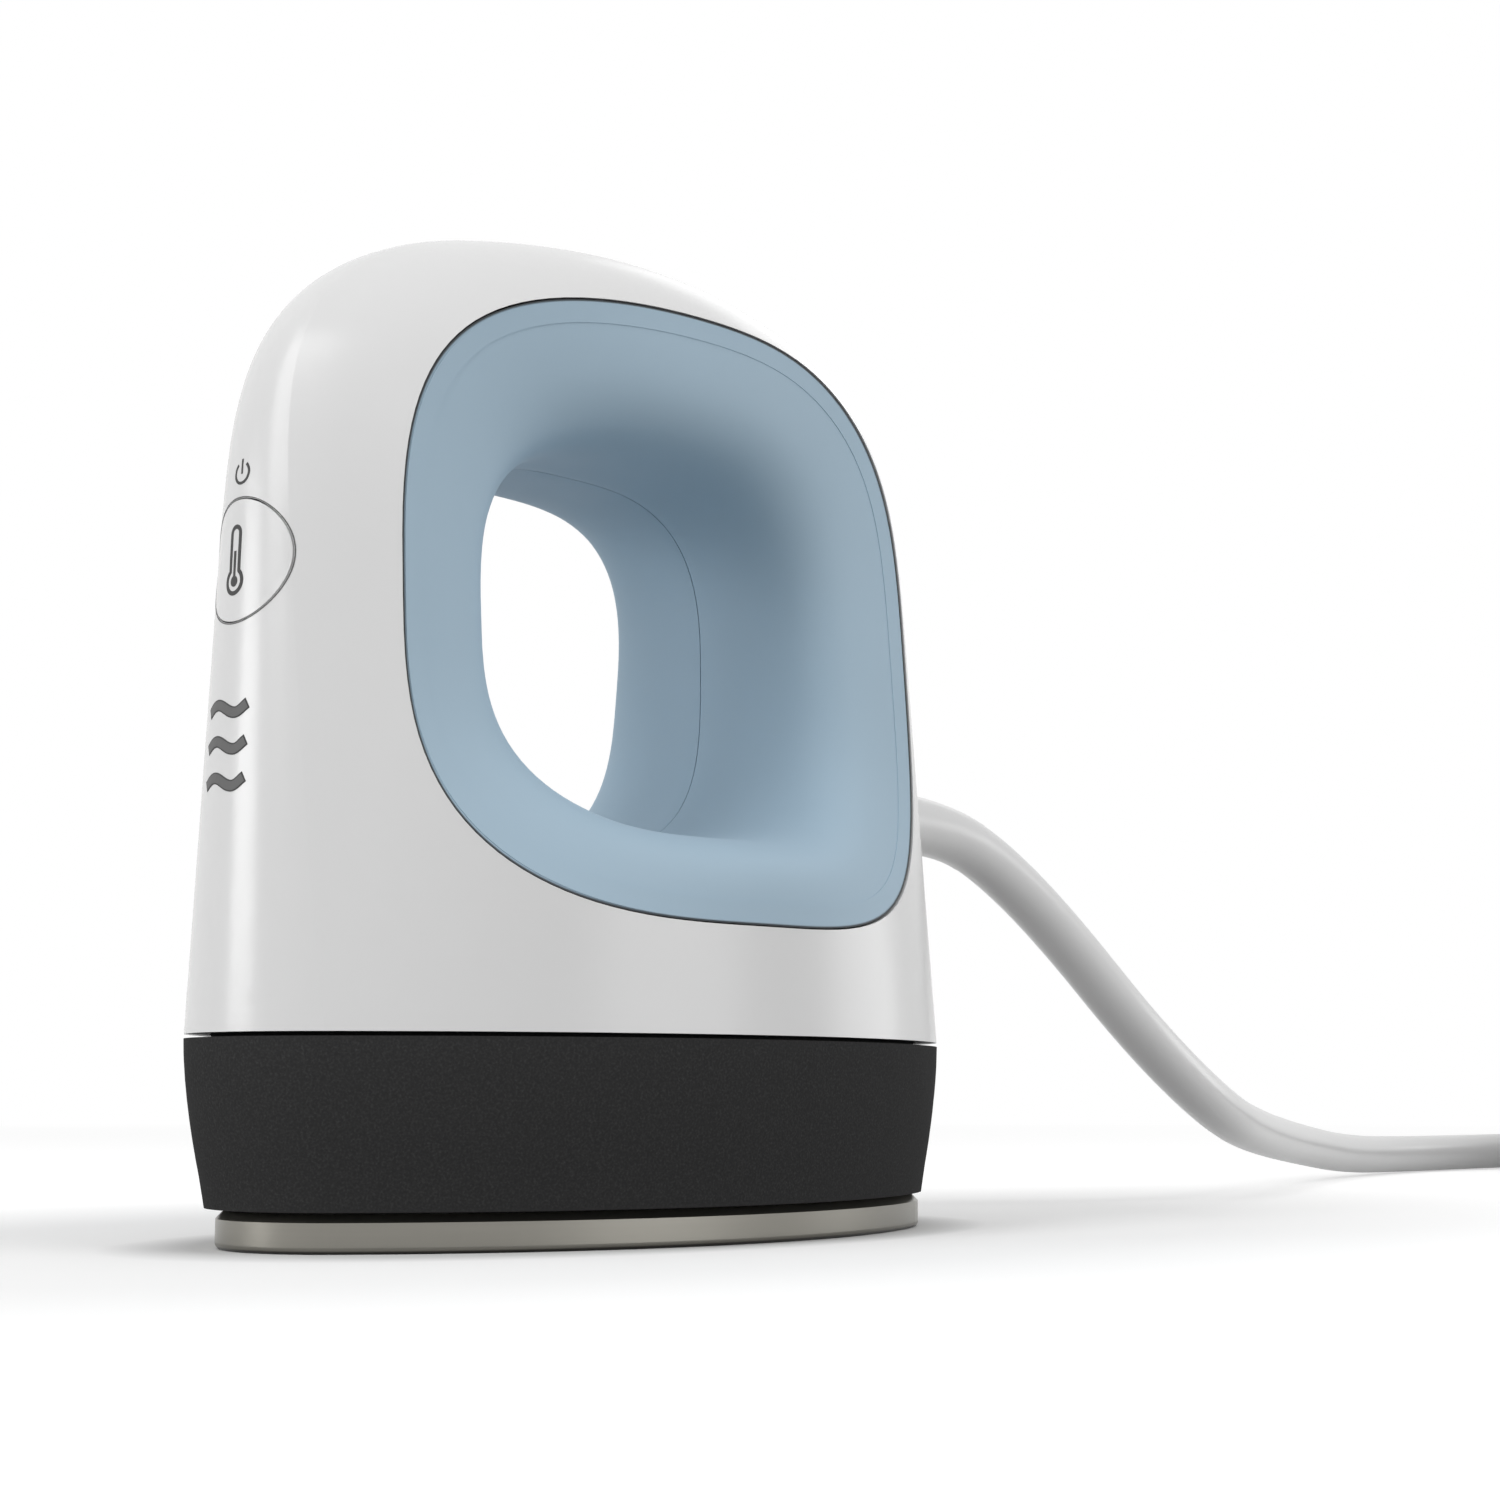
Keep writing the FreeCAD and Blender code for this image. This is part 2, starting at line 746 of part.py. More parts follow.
def make_heat_plate():
    """Sole plate with a rounded lower edge, a bevelled upper edge and four screw bosses."""
    plate = Body("heat_plate")
    pad = plate.add("Pad", plate.sketch(plate_oval().arcs()), "sizes.plate_thickness")
    rounded = plate.dress("Fillet", 0.0, "sizes.plate_edge_round", pad)
    plate.dress("Chamfer", PLATE_TOP, "sizes.plate_edge_bevel", rounded)
    boss = plate.circles(STACK_SCREWS, "sizes.boss_radius", "sizes.plate_thickness")
    plate.add("Pad", boss, f"{ELEMENT_TEXT} - sizes.plate_thickness")
    hole = plate.circles(STACK_SCREWS, STACK_HOLE, ELEMENT_TEXT)
    plate.add("Pocket", hole, f"{ELEMENT_TEXT} - sizes.plate_thickness")
    plate.done()


def make_plate_gasket():
    """Insulating ring between the plate and the skirt, stepped up into the skirt's opening."""
    gasket = Body("plate_gasket")
    narrow_inset = size("skirt_flange_inset") + SEAT
    inside = plate_oval(narrow_inset + size("gasket_wall")).arcs()
    foot = gasket.sketch(plate_oval(size("gasket_inset")).arcs() + inside, "sizes.plate_thickness")
    gasket.add("Pad", foot, "sizes.skirt_bottom - sizes.plate_thickness")
    collar = gasket.sketch(plate_oval(narrow_inset).arcs() + inside, "sizes.skirt_bottom")
    gasket.add("Pad", collar, "sizes.skirt_flange + sizes.gasket_rise")
    gasket.done()


def make_heating_element():
    """Sheathed heating rod bent into a U on the plate."""
    leg_x = size("element_leg_x")
    bend_y = -size("element_bend_y")
    end_y = size("element_end_y")
    left_end = Vector(-leg_x, end_y, ELEMENT_LEVEL)
    left_bend = Vector(-leg_x, bend_y, ELEMENT_LEVEL)
    nose = Vector(0, bend_y - leg_x, ELEMENT_LEVEL)
    right_bend = Vector(leg_x, bend_y, ELEMENT_LEVEL)
    right_end = Vector(leg_x, end_y, ELEMENT_LEVEL)
    path = Part.Wire(
        [
            Part.LineSegment(left_end, left_bend).toShape(),
            Part.Arc(left_bend, nose, right_bend).toShape(),
            Part.LineSegment(right_bend, right_end).toShape(),
        ]
    )
    profile = Part.Wire(Part.makeCircle(size("element_radius"), left_end, Vector(0, 1, 0)))
    shaped("heating_element", path.makePipeShell([profile], True, True))


def make_stack():
    """Clamp plate, insulation pad, heat shield and the bushes and screws that hold them."""
    slab(
        "element_clamp",
        plate_oval(size("clamp_inset")),
        ELEMENT_TEXT,
        "sizes.clamp_thickness",
        STACK_SCREWS,
        STACK_HOLE,
        WINDOW,
    ).done()
    slab(
        "insulation_pad",
        plate_oval(size("pad_inset")),
        PAD_TEXT,
        "sizes.pad_thickness",
        STACK_SCREWS,
        "sizes.bush_radius + 2 * sizes.running_gap",
        WINDOW,
    ).done()
    shield = slab(
        "heat_shield",
        plate_oval(size("shield_inset")),
        SHIELD_TEXT,
        "sizes.shield_thickness",
        STACK_SCREWS,
        "sizes.bush_radius + 2 * sizes.running_gap",
        WINDOW,
    )
    outer = plate_oval(size("shield_inset")).arcs()
    inner = plate_oval(size("shield_inset") + size("shield_thickness")).arcs()
    rim = shield.sketch(outer + inner, f"{SHIELD_TEXT} - sizes.shield_rim")
    shield.add("Pad", rim, "sizes.shield_rim + sizes.shield_thickness / 2")
    shield.done()

    bushes = []
    screws = []
    for x, y in STACK_SCREWS:
        sleeve = rod((x, y, PAD_LEVEL), (x, y, DECK_LEVEL), size("bush_radius"))
        bushes.append(sleeve.cut(rod((x, y, PAD_LEVEL - 1), (x, y, DECK_LEVEL + 1), SCREW_HOLE)))
        screws.append(
            screw(
                (x, y, DECK_TOP),
                (0, 0, -1),
                DECK_TOP - PLATE_TOP - 4 * SEAT,
                size("screw_radius"),
                size("screw_head_radius"),
                size("screw_head_height"),
            )
        )
    shaped("standoff_bushes", Part.makeCompound(bushes))
    shaped("plate_screws", Part.makeCompound(screws))


def make_heat_sensors():
    """Temperature sensor and thermal fuse, both lying on the plate between the element's legs."""
    sensor = doc.addObject("Part::Cylinder", "temperature_sensor")
    sensor.setExpression("Radius", "sizes.sensor_radius")
    sensor.setExpression("Height", "sizes.sensor_height")
    sensor.setExpression("Placement.Base.y", "sizes.sensor_y")
    sensor.setExpression("Placement.Base.z", "sizes.plate_thickness")
    node(sensor, "temperature_sensor")

    fuse = doc.addObject("Part::Cylinder", "thermal_fuse")
    fuse.Placement = Placement(Vector(), Rotation(Vector(1, 0, 0), -90))
    fuse.setExpression("Radius", "sizes.fuse_radius")
    fuse.setExpression("Height", "sizes.fuse_length")
    fuse.setExpression("Placement.Base.y", "sizes.fuse_y")
    fuse.setExpression("Placement.Base.z", "sizes.plate_thickness + sizes.running_gap + sizes.fuse_radius")
    node(fuse, "thermal_fuse")


# ----------------------------------------------------- skirt, frame and shell


def make_base_skirt():
    """Heat-resistant skirt: a bowed wall, a bottom flange round the plate and a tongue into the shell."""
    section_count = 5
    steps = [i / (section_count - 1) for i in range(section_count)]
    bottom = size("skirt_bottom")
    heights = [bottom + (SEAM - bottom) * step for step in steps]
    outer = Part.makeLoft([skirt_oval(z).wire(z) for z in heights], True, False)
    wall = size("skirt_wall")
    inner_heights = [FLANGE_TOP + (SEAM + 1 - FLANGE_TOP) * step for step in steps]
    inner = Part.makeLoft([skirt_oval(z, wall).wire(z) for z in inner_heights], True, False)
    opening = plate_oval(size("skirt_flange_inset")).prism(bottom - 1, FLANGE_TOP + 1)
    tongue_inset = size("shell_wall") + SEAT + 0.5 * size("contact_gap")
    tongue_top = SHELL_BOTTOM + size("tongue_rise")
    tongue_bottom = SEAM - size("tongue_rise")
    tongue_outer = form_oval(tongue_top, tongue_inset).prism(tongue_bottom, tongue_top)
    tongue_inner = form_oval(tongue_top, tongue_inset + size("tongue_wall"))
    tongue = tongue_outer.cut(tongue_inner.prism(tongue_bottom - 1, tongue_top + 1))
    skirt = outer.cut(inner).cut(opening).fuse(tongue)
    shaped("base_skirt", skirt.removeSplitter())


def make_inner_frame():
    """Frame in the skirt: deck and wall, a spine for the board and a post for the cord clamp."""
    outline = skirt_oval(size("skirt_bottom"), FRAME_INSET)
    hollow = skirt_oval(size("skirt_bottom"), FRAME_INSET + size("frame_wall"))
    frame = outline.prism(FLANGE_TOP, DECK_TOP).cut(hollow.prism(FLANGE_TOP - 1, DECK_LEVEL))
    half_foot = size("spine_foot_width") / 2
    half_spine = size("spine_width") / 2
    foot_top = DECK_TOP + size("spine_foot_height")
    spine_top = DECK_TOP + size("spine_height")
    foot = box((-half_foot, SPINE_FRONT, DECK_TOP - 1), (half_foot, SPINE_BACK, foot_top))
    spine = box((-half_spine, SPINE_FRONT, foot_top - 2), (half_spine, SPINE_BACK, spine_top))
    half_post = size("post_width") / 2
    post_back = POST_FRONT + size("post_depth")
    wall = size("frame_wall")
    post = box((-half_post, POST_FRONT, DECK_TOP - 1), (half_post, post_back, POST_TOP))
    slot_top = POST_TOP - size("post_slot_drop")
    post_slot = box((-half_post + wall, POST_FRONT - 1, DECK_TOP), (half_post - wall, post_back - wall, slot_top))
    frame = frame.fuse([foot, spine, post.cut(post_slot)])
    window_half = half_foot - size("spine_window_margin")
    window_top = foot_top - size("spine_window_drop")
    wire_window = box((-window_half, SPINE_FRONT - 1, DECK_TOP + wall), (window_half, SPINE_BACK + 1, window_top))
    lead_window = box(
        (-size("window_width") / 2, size("window_front"), DECK_LEVEL - 1),
        (size("window_width") / 2, size("window_rear"), DECK_TOP + 1),
    )
    cuts = [wire_window, lead_window]
    for x, y in STACK_SCREWS + SHELL_SCREWS:
        cuts.append(rod((x, y, DECK_LEVEL - 1), (x, y, DECK_TOP + 1), SCREW_HOLE))
    posts = []
    for x, z in BOARD_SCREWS:
        posts.append(rod((x, BOARD_BACK, z), (x, SPINE_FRONT + 1, z), size("board_post_radius")))
        cuts.append(rod((x, BOARD_BACK - 1, z), (x, SPINE_FRONT + size("spine_wall") / 2, z), SMALL_HOLE))
    for side in (-1, 1):
        x, y = side * clamp_screw_x(), clamp_y()
        cuts.append(rod((x, y, POST_TOP + 1), (x, y, slot_top + 1), SMALL_HOLE))
    shaped("inner_frame", frame.fuse(posts).cut(cuts).removeSplitter())


def clamp_screw_x():
    """Distance of the cord clamp's screws from the middle plane."""
    return (size("post_width") / 2 + CORD_RADIUS + SEAT) / 2


def clamp_y():
    """Place of the cord clamp's screws along the cord."""
    return POST_FRONT + size("post_depth") / 2


def button_prism(grow, low_y, high_y):
    """Straight solid of the button's outline along the press direction, moved outwards by grow."""
    return rod((0, low_y, BUTTON_Z), (0, high_y, BUTTON_Z), size("button_radius") + grow)


def shell_bosses():
    """Screw bosses inside the shell, each tied to the wall by a rib."""
    inside = body_form(size("shell_wall") / 2, DECK_TOP)
    bosses = []
    for x, y in SHELL_SCREWS:
        top = DECK_TOP + size("shell_boss_height")
        boss = rod((x, y, DECK_TOP), (x, y, top), size("boss_radius"))
        outwards = math.copysign(size("body_width") / 2, x)
        rib_low = (min(x, outwards), y - size("rib_thickness") / 2, SHELL_BOTTOM + size("tongue_rise") + SEAT)
        rib_high = (max(x, outwards), y + size("rib_thickness") / 2, top)
        hole = rod((x, y, DECK_TOP - 1), (x, y, top - size("shell_boss_floor")), SCREW_HOLE)
        bosses.append(boss.fuse(box(rib_low, rib_high).common(inside)).cut(hole))
    return bosses


def make_outer_shell():
    """White housing: one hollow form with the two rim openings, the button hole and the cord hole."""
    reach = size("body_width")
    outer = body_form(0.0, SHELL_BOTTOM)
    inner = body_form(size("shell_wall"), SHELL_BOTTOM - 2)
    cord_hole = rod((0, 0, CORD_Z), (0, reach, CORD_Z), size("relief_neck_radius") + SEAT)
    shell = outer.cut([inner, rim_prism(0.0, -reach, reach)])
    shell = shell.cut([button_prism(size("button_gap"), -reach, BOARD_FRONT), cord_hole])
    shaped("outer_shell", shell.fuse(shell_bosses()).removeSplitter())


def make_chassis_screws():
    """Screws up through the deck into the shell's bosses."""
    length = size("deck_thickness") + size("shell_boss_height") - 2 * size("shell_boss_floor")
    screws = [
        screw(
            (x, y, DECK_LEVEL),
            (0, 0, 1),
            length,
            size("screw_radius"),
            size("screw_head_radius"),
            size("screw_head_height"),
        )
        for x, y in SHELL_SCREWS
    ]
    shaped("chassis_screws", Part.makeCompound(screws))


def make_grip_inserts():
    """Two soft-touch liners that flare from the rims to a parting line at the middle plane."""
    right = make_grip_half()
    shaped("grip_insert_right", right)
    shaped("grip_insert_left", right.mirror(Vector(), Vector(1, 0, 0)))


# --------------------------------------------------------- board and button


def make_control_board():
    """Circuit board that stands in the front column."""
    board = Body("control_board")
    half = size("board_width") / 2
    low = size("board_bottom")
    outline = rectangle(-half, low, half, low + size("board_height"))
    sketch = board.sketch(outline, "sizes.board_front", "XZ_Plane")
    board.add("Pad", sketch, "sizes.board_thickness", True)
    holes = [Part.Circle(Vector(x, z, 0), Vector(0, 0, 1), SMALL_HOLE) for x, z in BOARD_SCREWS]
    board.add("Pocket", board.sketch(holes, "sizes.board_front", "XZ_Plane"), "sizes.board_thickness")
    board.done()

    shank = size("board_thickness") + size("board_spine_gap") - size("board_screw_rest")
    screws = [
        screw(
            (x, BOARD_FRONT, z),
            (0, 1, 0),
            shank,
            size("small_screw_radius"),
            size("small_head_radius"),
            size("small_head_height"),
        )
        for x, z in BOARD_SCREWS
    ]
    shaped("board_screws", Part.makeCompound(screws))


def on_board(label, width, depth, height, low_z):
    """Plain component on the back of the board, with sizes named in the sheet."""
    part = doc.addObject("Part::Box", label)
    part.setExpression("Length", f"sizes.{width}")
    part.setExpression("Width", f"sizes.{depth}")
    part.setExpression("Height", f"sizes.{height}")
    part.setExpression("Placement.Base.x", f"-sizes.{width} / 2")
    part.setExpression("Placement.Base.y", "sizes.board_thickness - sizes.board_front")
    part.setExpression("Placement.Base.z", low_z)
    node(part, label)


def make_board_parts():
    """Components of the board: switching device, chip, capacitor, terminals and lights."""
    triac_low = "sizes.board_screw_low + sizes.small_head_radius + sizes.triac_clearance"
    chip_low = f"{triac_low} + sizes.triac_height + sizes.component_gap"
    capacitor_low = f"{chip_low} + sizes.chip_side + sizes.component_gap"
    terminal_low = "sizes.board_bottom + sizes.terminal_rise"
    on_board("drive_triac", "triac_width", "triac_depth", "triac_height", triac_low)
    on_board("controller_chip", "chip_side", "chip_depth", "chip_side", chip_low)
    on_board("supply_capacitor", "capacitor_side", "capacitor_depth", "capacitor_side", capacitor_low)
    on_board("terminal_block", "terminal_width", "terminal_depth", "terminal_height", terminal_low)
    lights = []
    for step in (-1, 0, 1):
        z = size("light_centre_z") + step * size("light_spacing")
        half_width = size("led_width") / 2
        half_height = size("led_height") / 2
        low = (-half_width, BOARD_FRONT - size("led_depth"), z - half_height)
        lights.append(box(low, (half_width, BOARD_FRONT, z + half_height)))
    shaped("indicator_leds", Part.makeCompound(lights))


def make_light_guide():
    """Block that keeps the three lights apart, from the board to the back of the front wall."""
    half_width = size("guide_width") / 2
    half_height = size("guide_height") / 2
    centre = size("light_centre_z")
    back = BOARD_FRONT - SEAT
    block = box((-half_width, -size("front_reach"), centre - half_height), (half_width, back, centre + half_height))
    guide = block.common(body_form(size("shell_wall") + SEAT, SHELL_BOTTOM))
    half_channel = size("guide_channel_width") / 2
    for step in (-1, 0, 1):
        z = centre + step * size("light_spacing")
        low = (-half_channel, -size("front_reach"), z - size("guide_channel_height") / 2)
        guide = guide.cut(box(low, (half_channel, back + 1, z + size("guide_channel_height") / 2)))
    shaped("light_guide", guide)


def make_button():
    """Press button, its retainer and the tact switch behind it."""
    reach = size("body_width")
    depth = size("button_depth")
    outside = body_form(0.0, SHELL_BOTTOM)
    behind = body_form(depth, SHELL_BOTTOM - 2)
    cap = outside.common(button_prism(0.0, -reach, BOARD_FRONT)).cut(behind)
    ear_inset = size("shell_wall") + size("button_ear_gap")
    ear_half = size("button_ear_width") / 2
    ear_end = size("button_radius") + size("button_ear_reach")
    ear_box = box((-ear_half, -reach, BUTTON_Z - ear_end), (ear_half, BOARD_FRONT, BUTTON_Z + ear_end))
    ears = body_form(ear_inset, SHELL_BOTTOM).cut(behind).common(ear_box)
    stem_end = PLUNGER_TIP - size("contact_gap")
    stem_start = -size("front_reach") + depth
    stem = rod((0, stem_start, BUTTON_Z), (0, stem_end, BUTTON_Z), size("stem_radius"))
    shaped("power_button", cap.fuse([ears, stem]).removeSplitter())

    retainer_front = -size("retainer_front")
    retainer_back = retainer_front + size("retainer_thickness")
    half_height = size("retainer_height") / 2
    plate = box((-reach, retainer_front, BUTTON_Z - half_height), (reach, retainer_back, BUTTON_Z + half_height))
    plate = plate.common(body_form(size("shell_wall") + SEAT, SHELL_BOTTOM))
    bore = rod((0, retainer_front - 1, BUTTON_Z), (0, retainer_back + 1, BUTTON_Z), size("stem_radius") + SEAT)
    shaped("button_retainer", plate.cut(bore))


def make_switch():
    """Tact switch: a body with a stepped bore, a snap dome and a headed plunger."""
    half = size("switch_side") / 2
    body = box((-half, SWITCH_FRONT, BUTTON_Z - half), (half, BOARD_FRONT, BUTTON_Z + half))
    lid = size("switch_lid")
    floor = size("switch_floor")
    cavity_radius = half - size("switch_wall")
    bore_radius = size("plunger_radius") + size("contact_gap")
    bore = rod((0, SWITCH_FRONT - 1, BUTTON_Z), (0, SWITCH_FRONT + lid + 0.1, BUTTON_Z), bore_radius)
    cavity = rod((0, SWITCH_FRONT + lid, BUTTON_Z), (0, BOARD_FRONT - floor, BUTTON_Z), cavity_radius)
    shaped("switch_body", body.cut([bore, cavity]))

    head_front = SWITCH_FRONT + lid + size("contact_gap")
    head_back = head_front + size("plunger_head_depth")
    pin = rod((0, PLUNGER_TIP, BUTTON_Z), (0, head_back, BUTTON_Z), size("plunger_radius"))
    head = rod((0, head_front, BUTTON_Z), (0, head_back, BUTTON_Z), cavity_radius - size("plunger_head_gap"))
    shaped("switch_plunger", pin.fuse(head).removeSplitter())

    apex = head_back + size("contact_gap")
    base = BOARD_FRONT - floor - size("contact_gap") / 2
    rim = cavity_radius - size("dome_gap")
    rise = base - apex
    dome_radius = (rim**2 + rise**2) / (2 * rise)
    centre = Vector(0, apex + dome_radius, BUTTON_Z)
    outer = Part.makeSphere(dome_radius, centre)
    inner = Part.makeSphere(dome_radius - size("dome_thickness"), centre)
    slice_box = box((-half, apex - 1, BUTTON_Z - half), (half, base, BUTTON_Z + half))
    shaped("switch_dome", outer.cut(inner).common(slice_box))


# ------------------------------------------------------------- mains lead


def make_strain_relief():
    """Relief moulded on the lead: a flange inside the wall, a neck in the hole and a ribbed taper."""
    start = size("relief_start")
    flange_y = size("relief_flange_y")
    neck = size("relief_neck_radius")
    root = size("relief_root_radius")
    tip = size("relief_tip_radius")
    wall_y = size("rear_reach") - size("rear_lean") * (CORD_Z - SEAM)
    taper_start = wall_y + size("relief_step")
    taper_end = size("relief_end")
    rib_count = 3
    rib_pitch = (taper_end - taper_start) / rib_count
    groove_depth = size("relief_groove_depth")
    collar = CORD_RADIUS + size("relief_collar_wall")
    outline = [(0.0, start), (collar, start), (collar, flange_y), (neck, flange_y)]
    outline.append((neck, taper_start))
    for i in range(rib_count):
        low = taper_start + i * rib_pitch
        radius = root + (tip - root) * i / rib_count
        outline.append((radius, low))
        outline.append((radius, low + 0.6 * rib_pitch))
        if i < rib_count - 1:
            outline.append((radius - groove_depth, low + 0.6 * rib_pitch))
            outline.append((radius - groove_depth, low + rib_pitch))
    outline.append((tip, taper_end))
    outline.append((0.0, taper_end))
    points = [Vector(radius, y, CORD_Z) for radius, y in outline]
    profile = Part.makePolygon(points + points[:1])
    relief = turned(profile, Vector(0, 0, CORD_Z), Vector(0, 1, 0))
    flange = rod((0, flange_y, CORD_Z), (0, size("rear_reach"), CORD_Z), size("relief_flange_radius"))
    flange = flange.common(body_form(size("shell_wall") + SEAT, SHELL_BOTTOM))
    shaped("strain_relief", relief.fuse(flange).removeSplitter())


def make_cord_clamp():
    """Inner end of the lead and the saddle that screws it down on the frame's post."""
    tail = doc.addObject("Part::Cylinder", "cord_tail")
    tail.Placement = Placement(Vector(), Rotation(Vector(1, 0, 0), -90))
    tail.setExpression("Radius", "sizes.cord_diameter / 2")
    tail.setExpression("Height", "sizes.relief_start - sizes.tail_start")
    tail.setExpression("Placement.Base.y", "sizes.tail_start")
    tail.setExpression("Placement.Base.z", "sizes.cord_height")
    node(tail, "cord_tail")

    half = size("post_width") / 2
    low_y = clamp_y() - size("saddle_width") / 2
    high_y = clamp_y() + size("saddle_width") / 2
    saddle_top = CORD_Z + CORD_RADIUS + size("saddle_wall")
    saddle = box((-half, low_y, POST_TOP), (half, high_y, saddle_top))
    cuts = [rod((0, low_y - 1, CORD_Z), (0, high_y + 1, CORD_Z), CORD_RADIUS + SEAT)]
    open_half = CORD_RADIUS + SEAT
    cuts.append(box((-open_half, low_y - 1, POST_TOP - 1), (open_half, high_y + 1, CORD_Z)))
    screws = []
    for side in (-1, 1):
        x, y = side * clamp_screw_x(), clamp_y()
        cuts.append(rod((x, y, POST_TOP - 1), (x, y, saddle_top + 1), SMALL_HOLE))
        screws.append(
            screw(
                (x, y, saddle_top),
                (0, 0, -1),
                saddle_top - POST_TOP + size("clamp_screw_grip"),
                size("small_screw_radius"),
                size("small_head_radius"),
                size("small_head_height"),
            )
        )
    shaped("cord_clamp", saddle.cut(cuts))
    shaped("clamp_screws", Part.makeCompound(screws))


def make_leads():
    """Inner wires: mains to the terminals, heater to the terminals and earth to the plate."""
    radius = size("lead_radius")
    start_y = size("tail_start")
    drop_y = size("lead_drop_y")
    block_back = BOARD_BACK + size("terminal_depth")
    block_bottom = size("board_bottom") + size("terminal_rise")
    upper_z = block_bottom + size("terminal_upper_row")
    lower_z = block_bottom + size("terminal_lower_row")
    leg_x = size("element_leg_x")
    apart = CORD_RADIUS - radius - size("contact_gap")
    mains = []
    heater = []
    for side in (-1, 1):
        x = side * apart
        route = [(x, start_y, CORD_Z), (x, drop_y, CORD_Z), (x, drop_y, upper_z), (x, block_back, upper_z)]
        mains.append(lead_tube(route, radius))
        x = side * leg_x
        rise_y = (size("window_front") + size("window_rear")) / 2
        route = [
            (x, size("element_end_y"), ELEMENT_LEVEL),
            (x, rise_y, ELEMENT_LEVEL),
            (x, rise_y, lower_z),
            (x, block_back, lower_z),
        ]
        heater.append(lead_tube(route, radius))
    shaped("mains_leads", Part.makeCompound(mains))
    shaped("heater_leads", Part.makeCompound(heater))
    route = [(0, start_y, CORD_Z), (0, drop_y, CORD_Z), (0, drop_y, PLATE_TOP)]
    shaped("earth_lead", lead_tube(route, radius))


def lead_tube(points, radius):
    """Wire with equal bends."""
    bend = size("lead_bend")
    corners = [Vector(*point) for point in points]
    edges = []
    start = corners[0]
    for i in range(1, len(corners) - 1):
        before = corners[i] - corners[i - 1]
        after = corners[i + 1] - corners[i]
        turn = before.getAngle(after)
        trim = bend * math.tan(turn / 2)
        before.normalize()
        after.normalize()
        inward = after - before
        inward.normalize()
        reach = bend / math.cos(turn / 2) - bend
        edges.append(Part.LineSegment(start, corners[i] - before * trim).toShape())
        arc = Part.Arc(corners[i] - before * trim, corners[i] + inward * reach, corners[i] + after * trim)
        edges.append(arc.toShape())
        start = corners[i] + after * trim
    edges.append(Part.LineSegment(start, corners[-1]).toShape())
    profile = Part.Wire(Part.makeCircle(radius, corners[0], corners[1] - corners[0]))
    return Part.Wire(edges).makePipeShell([profile], True, True)


def make_power_cord():
    """Free stretch of the mains lead, from the strain relief to the coil."""
    cord, length, radii = tube(CORD_ROUTE, CORD_RADIUS)
    section = math.pi * CORD_RADIUS**2
    print("cord length %.1f, bends" % length, " ".join("%.0f" % radius for radius in radii))
    print("cord volume over section times length: %.4f" % (cord.Volume / section / length))
    shaped("power_cord", cord)


# The coil has two layers: half of its turns wind in along the floor, the rest wind out on top.
COIL_WIDTH = (size("coil_turns") / 2 + 1) * size("cord_diameter")
COIL_HEIGHT = 2 * size("cord_diameter")
COIL_BASE = size("tie_thickness") + 2 * size("contact_gap")
COIL_EXIT_LEVEL = COIL_BASE + COIL_HEIGHT - CORD_RADIUS
OUTER_TURN = size("coil_mean_radius") + COIL_WIDTH / 2 - CORD_RADIUS


def coil_centre():
    """Centre of the coil: the cord's last run is a tangent of the coil's outermost turn."""
    last = Vector(*CORD_ROUTE[-1])
    along = last - Vector(*CORD_ROUTE[-2])
    along.z = 0
    along.normalize()
    return Vector(last.x + OUTER_TURN * along.y, last.y - OUTER_TURN * along.x, 0)


def make_coil():
    """Coil of the stored length and its tie."""
    inner = size("coil_mean_radius") - COIL_WIDTH / 2
    outer = size("coil_mean_radius") + COIL_WIDTH / 2
    profile = rounded_rectangle(inner, COIL_BASE, outer, COIL_BASE + COIL_HEIGHT, CORD_RADIUS)
    ring = turned(profile, Vector(), Vector(0, 0, 1))
    centre = coil_centre()
    print("coil centre %.2f %.2f" % (centre.x, centre.y))
    shaped("cord_coil", ring, Placement(centre, Rotation()))

    gap = SEAT + size("contact_gap")
    thick = size("tie_thickness")
    low_x = math.sqrt(inner**2 - (size("tie_width") / 2) ** 2) - gap
    high_x = outer + gap
    low_z = COIL_BASE - size("contact_gap")
    high_z = COIL_BASE + COIL_HEIGHT + SEAT
    half = size("tie_width") / 2
    band = box((low_x - thick, -half, low_z - thick), (high_x + thick, half, high_z + thick))
    band = band.cut(box((low_x, -half - 1, low_z), (high_x, half + 1, high_z)))
    shaped("cord_tie", band, Placement(centre, Rotation(Vector(0, 0, 1), 60)))


def rounded_rectangle(low_u, low_v, high_u, high_v, radius):
    """Closed wire in the XZ plane with equal corner arcs."""
    cut = radius * (1 - math.sqrt(0.5))

    def point(u, v):
        return Vector(u, 0, v)

    edges = [
        Part.LineSegment(point(low_u + radius, low_v), point(high_u - radius, low_v)),
        Part.Arc(
            point(high_u - radius, low_v), point(high_u - cut, low_v + cut), point(high_u, low_v + radius)
        ),
        Part.LineSegment(point(high_u, low_v + radius), point(high_u, high_v - radius)),
        Part.Arc(
            point(high_u, high_v - radius), point(high_u - cut, high_v - cut), point(high_u - radius, high_v)
        ),
        Part.LineSegment(point(high_u - radius, high_v), point(low_u + radius, high_v)),
        Part.Arc(
            point(low_u + radius, high_v), point(low_u + cut, high_v - cut), point(low_u, high_v - radius)
        ),
        Part.LineSegment(point(low_u, high_v - radius), point(low_u, low_v + radius)),
        Part.Arc(
            point(low_u, low_v + radius), point(low_u + cut, low_v + cut), point(low_u + radius, low_v)
        ),
    ]
    return Part.Wire([edge.toShape() for edge in edges])


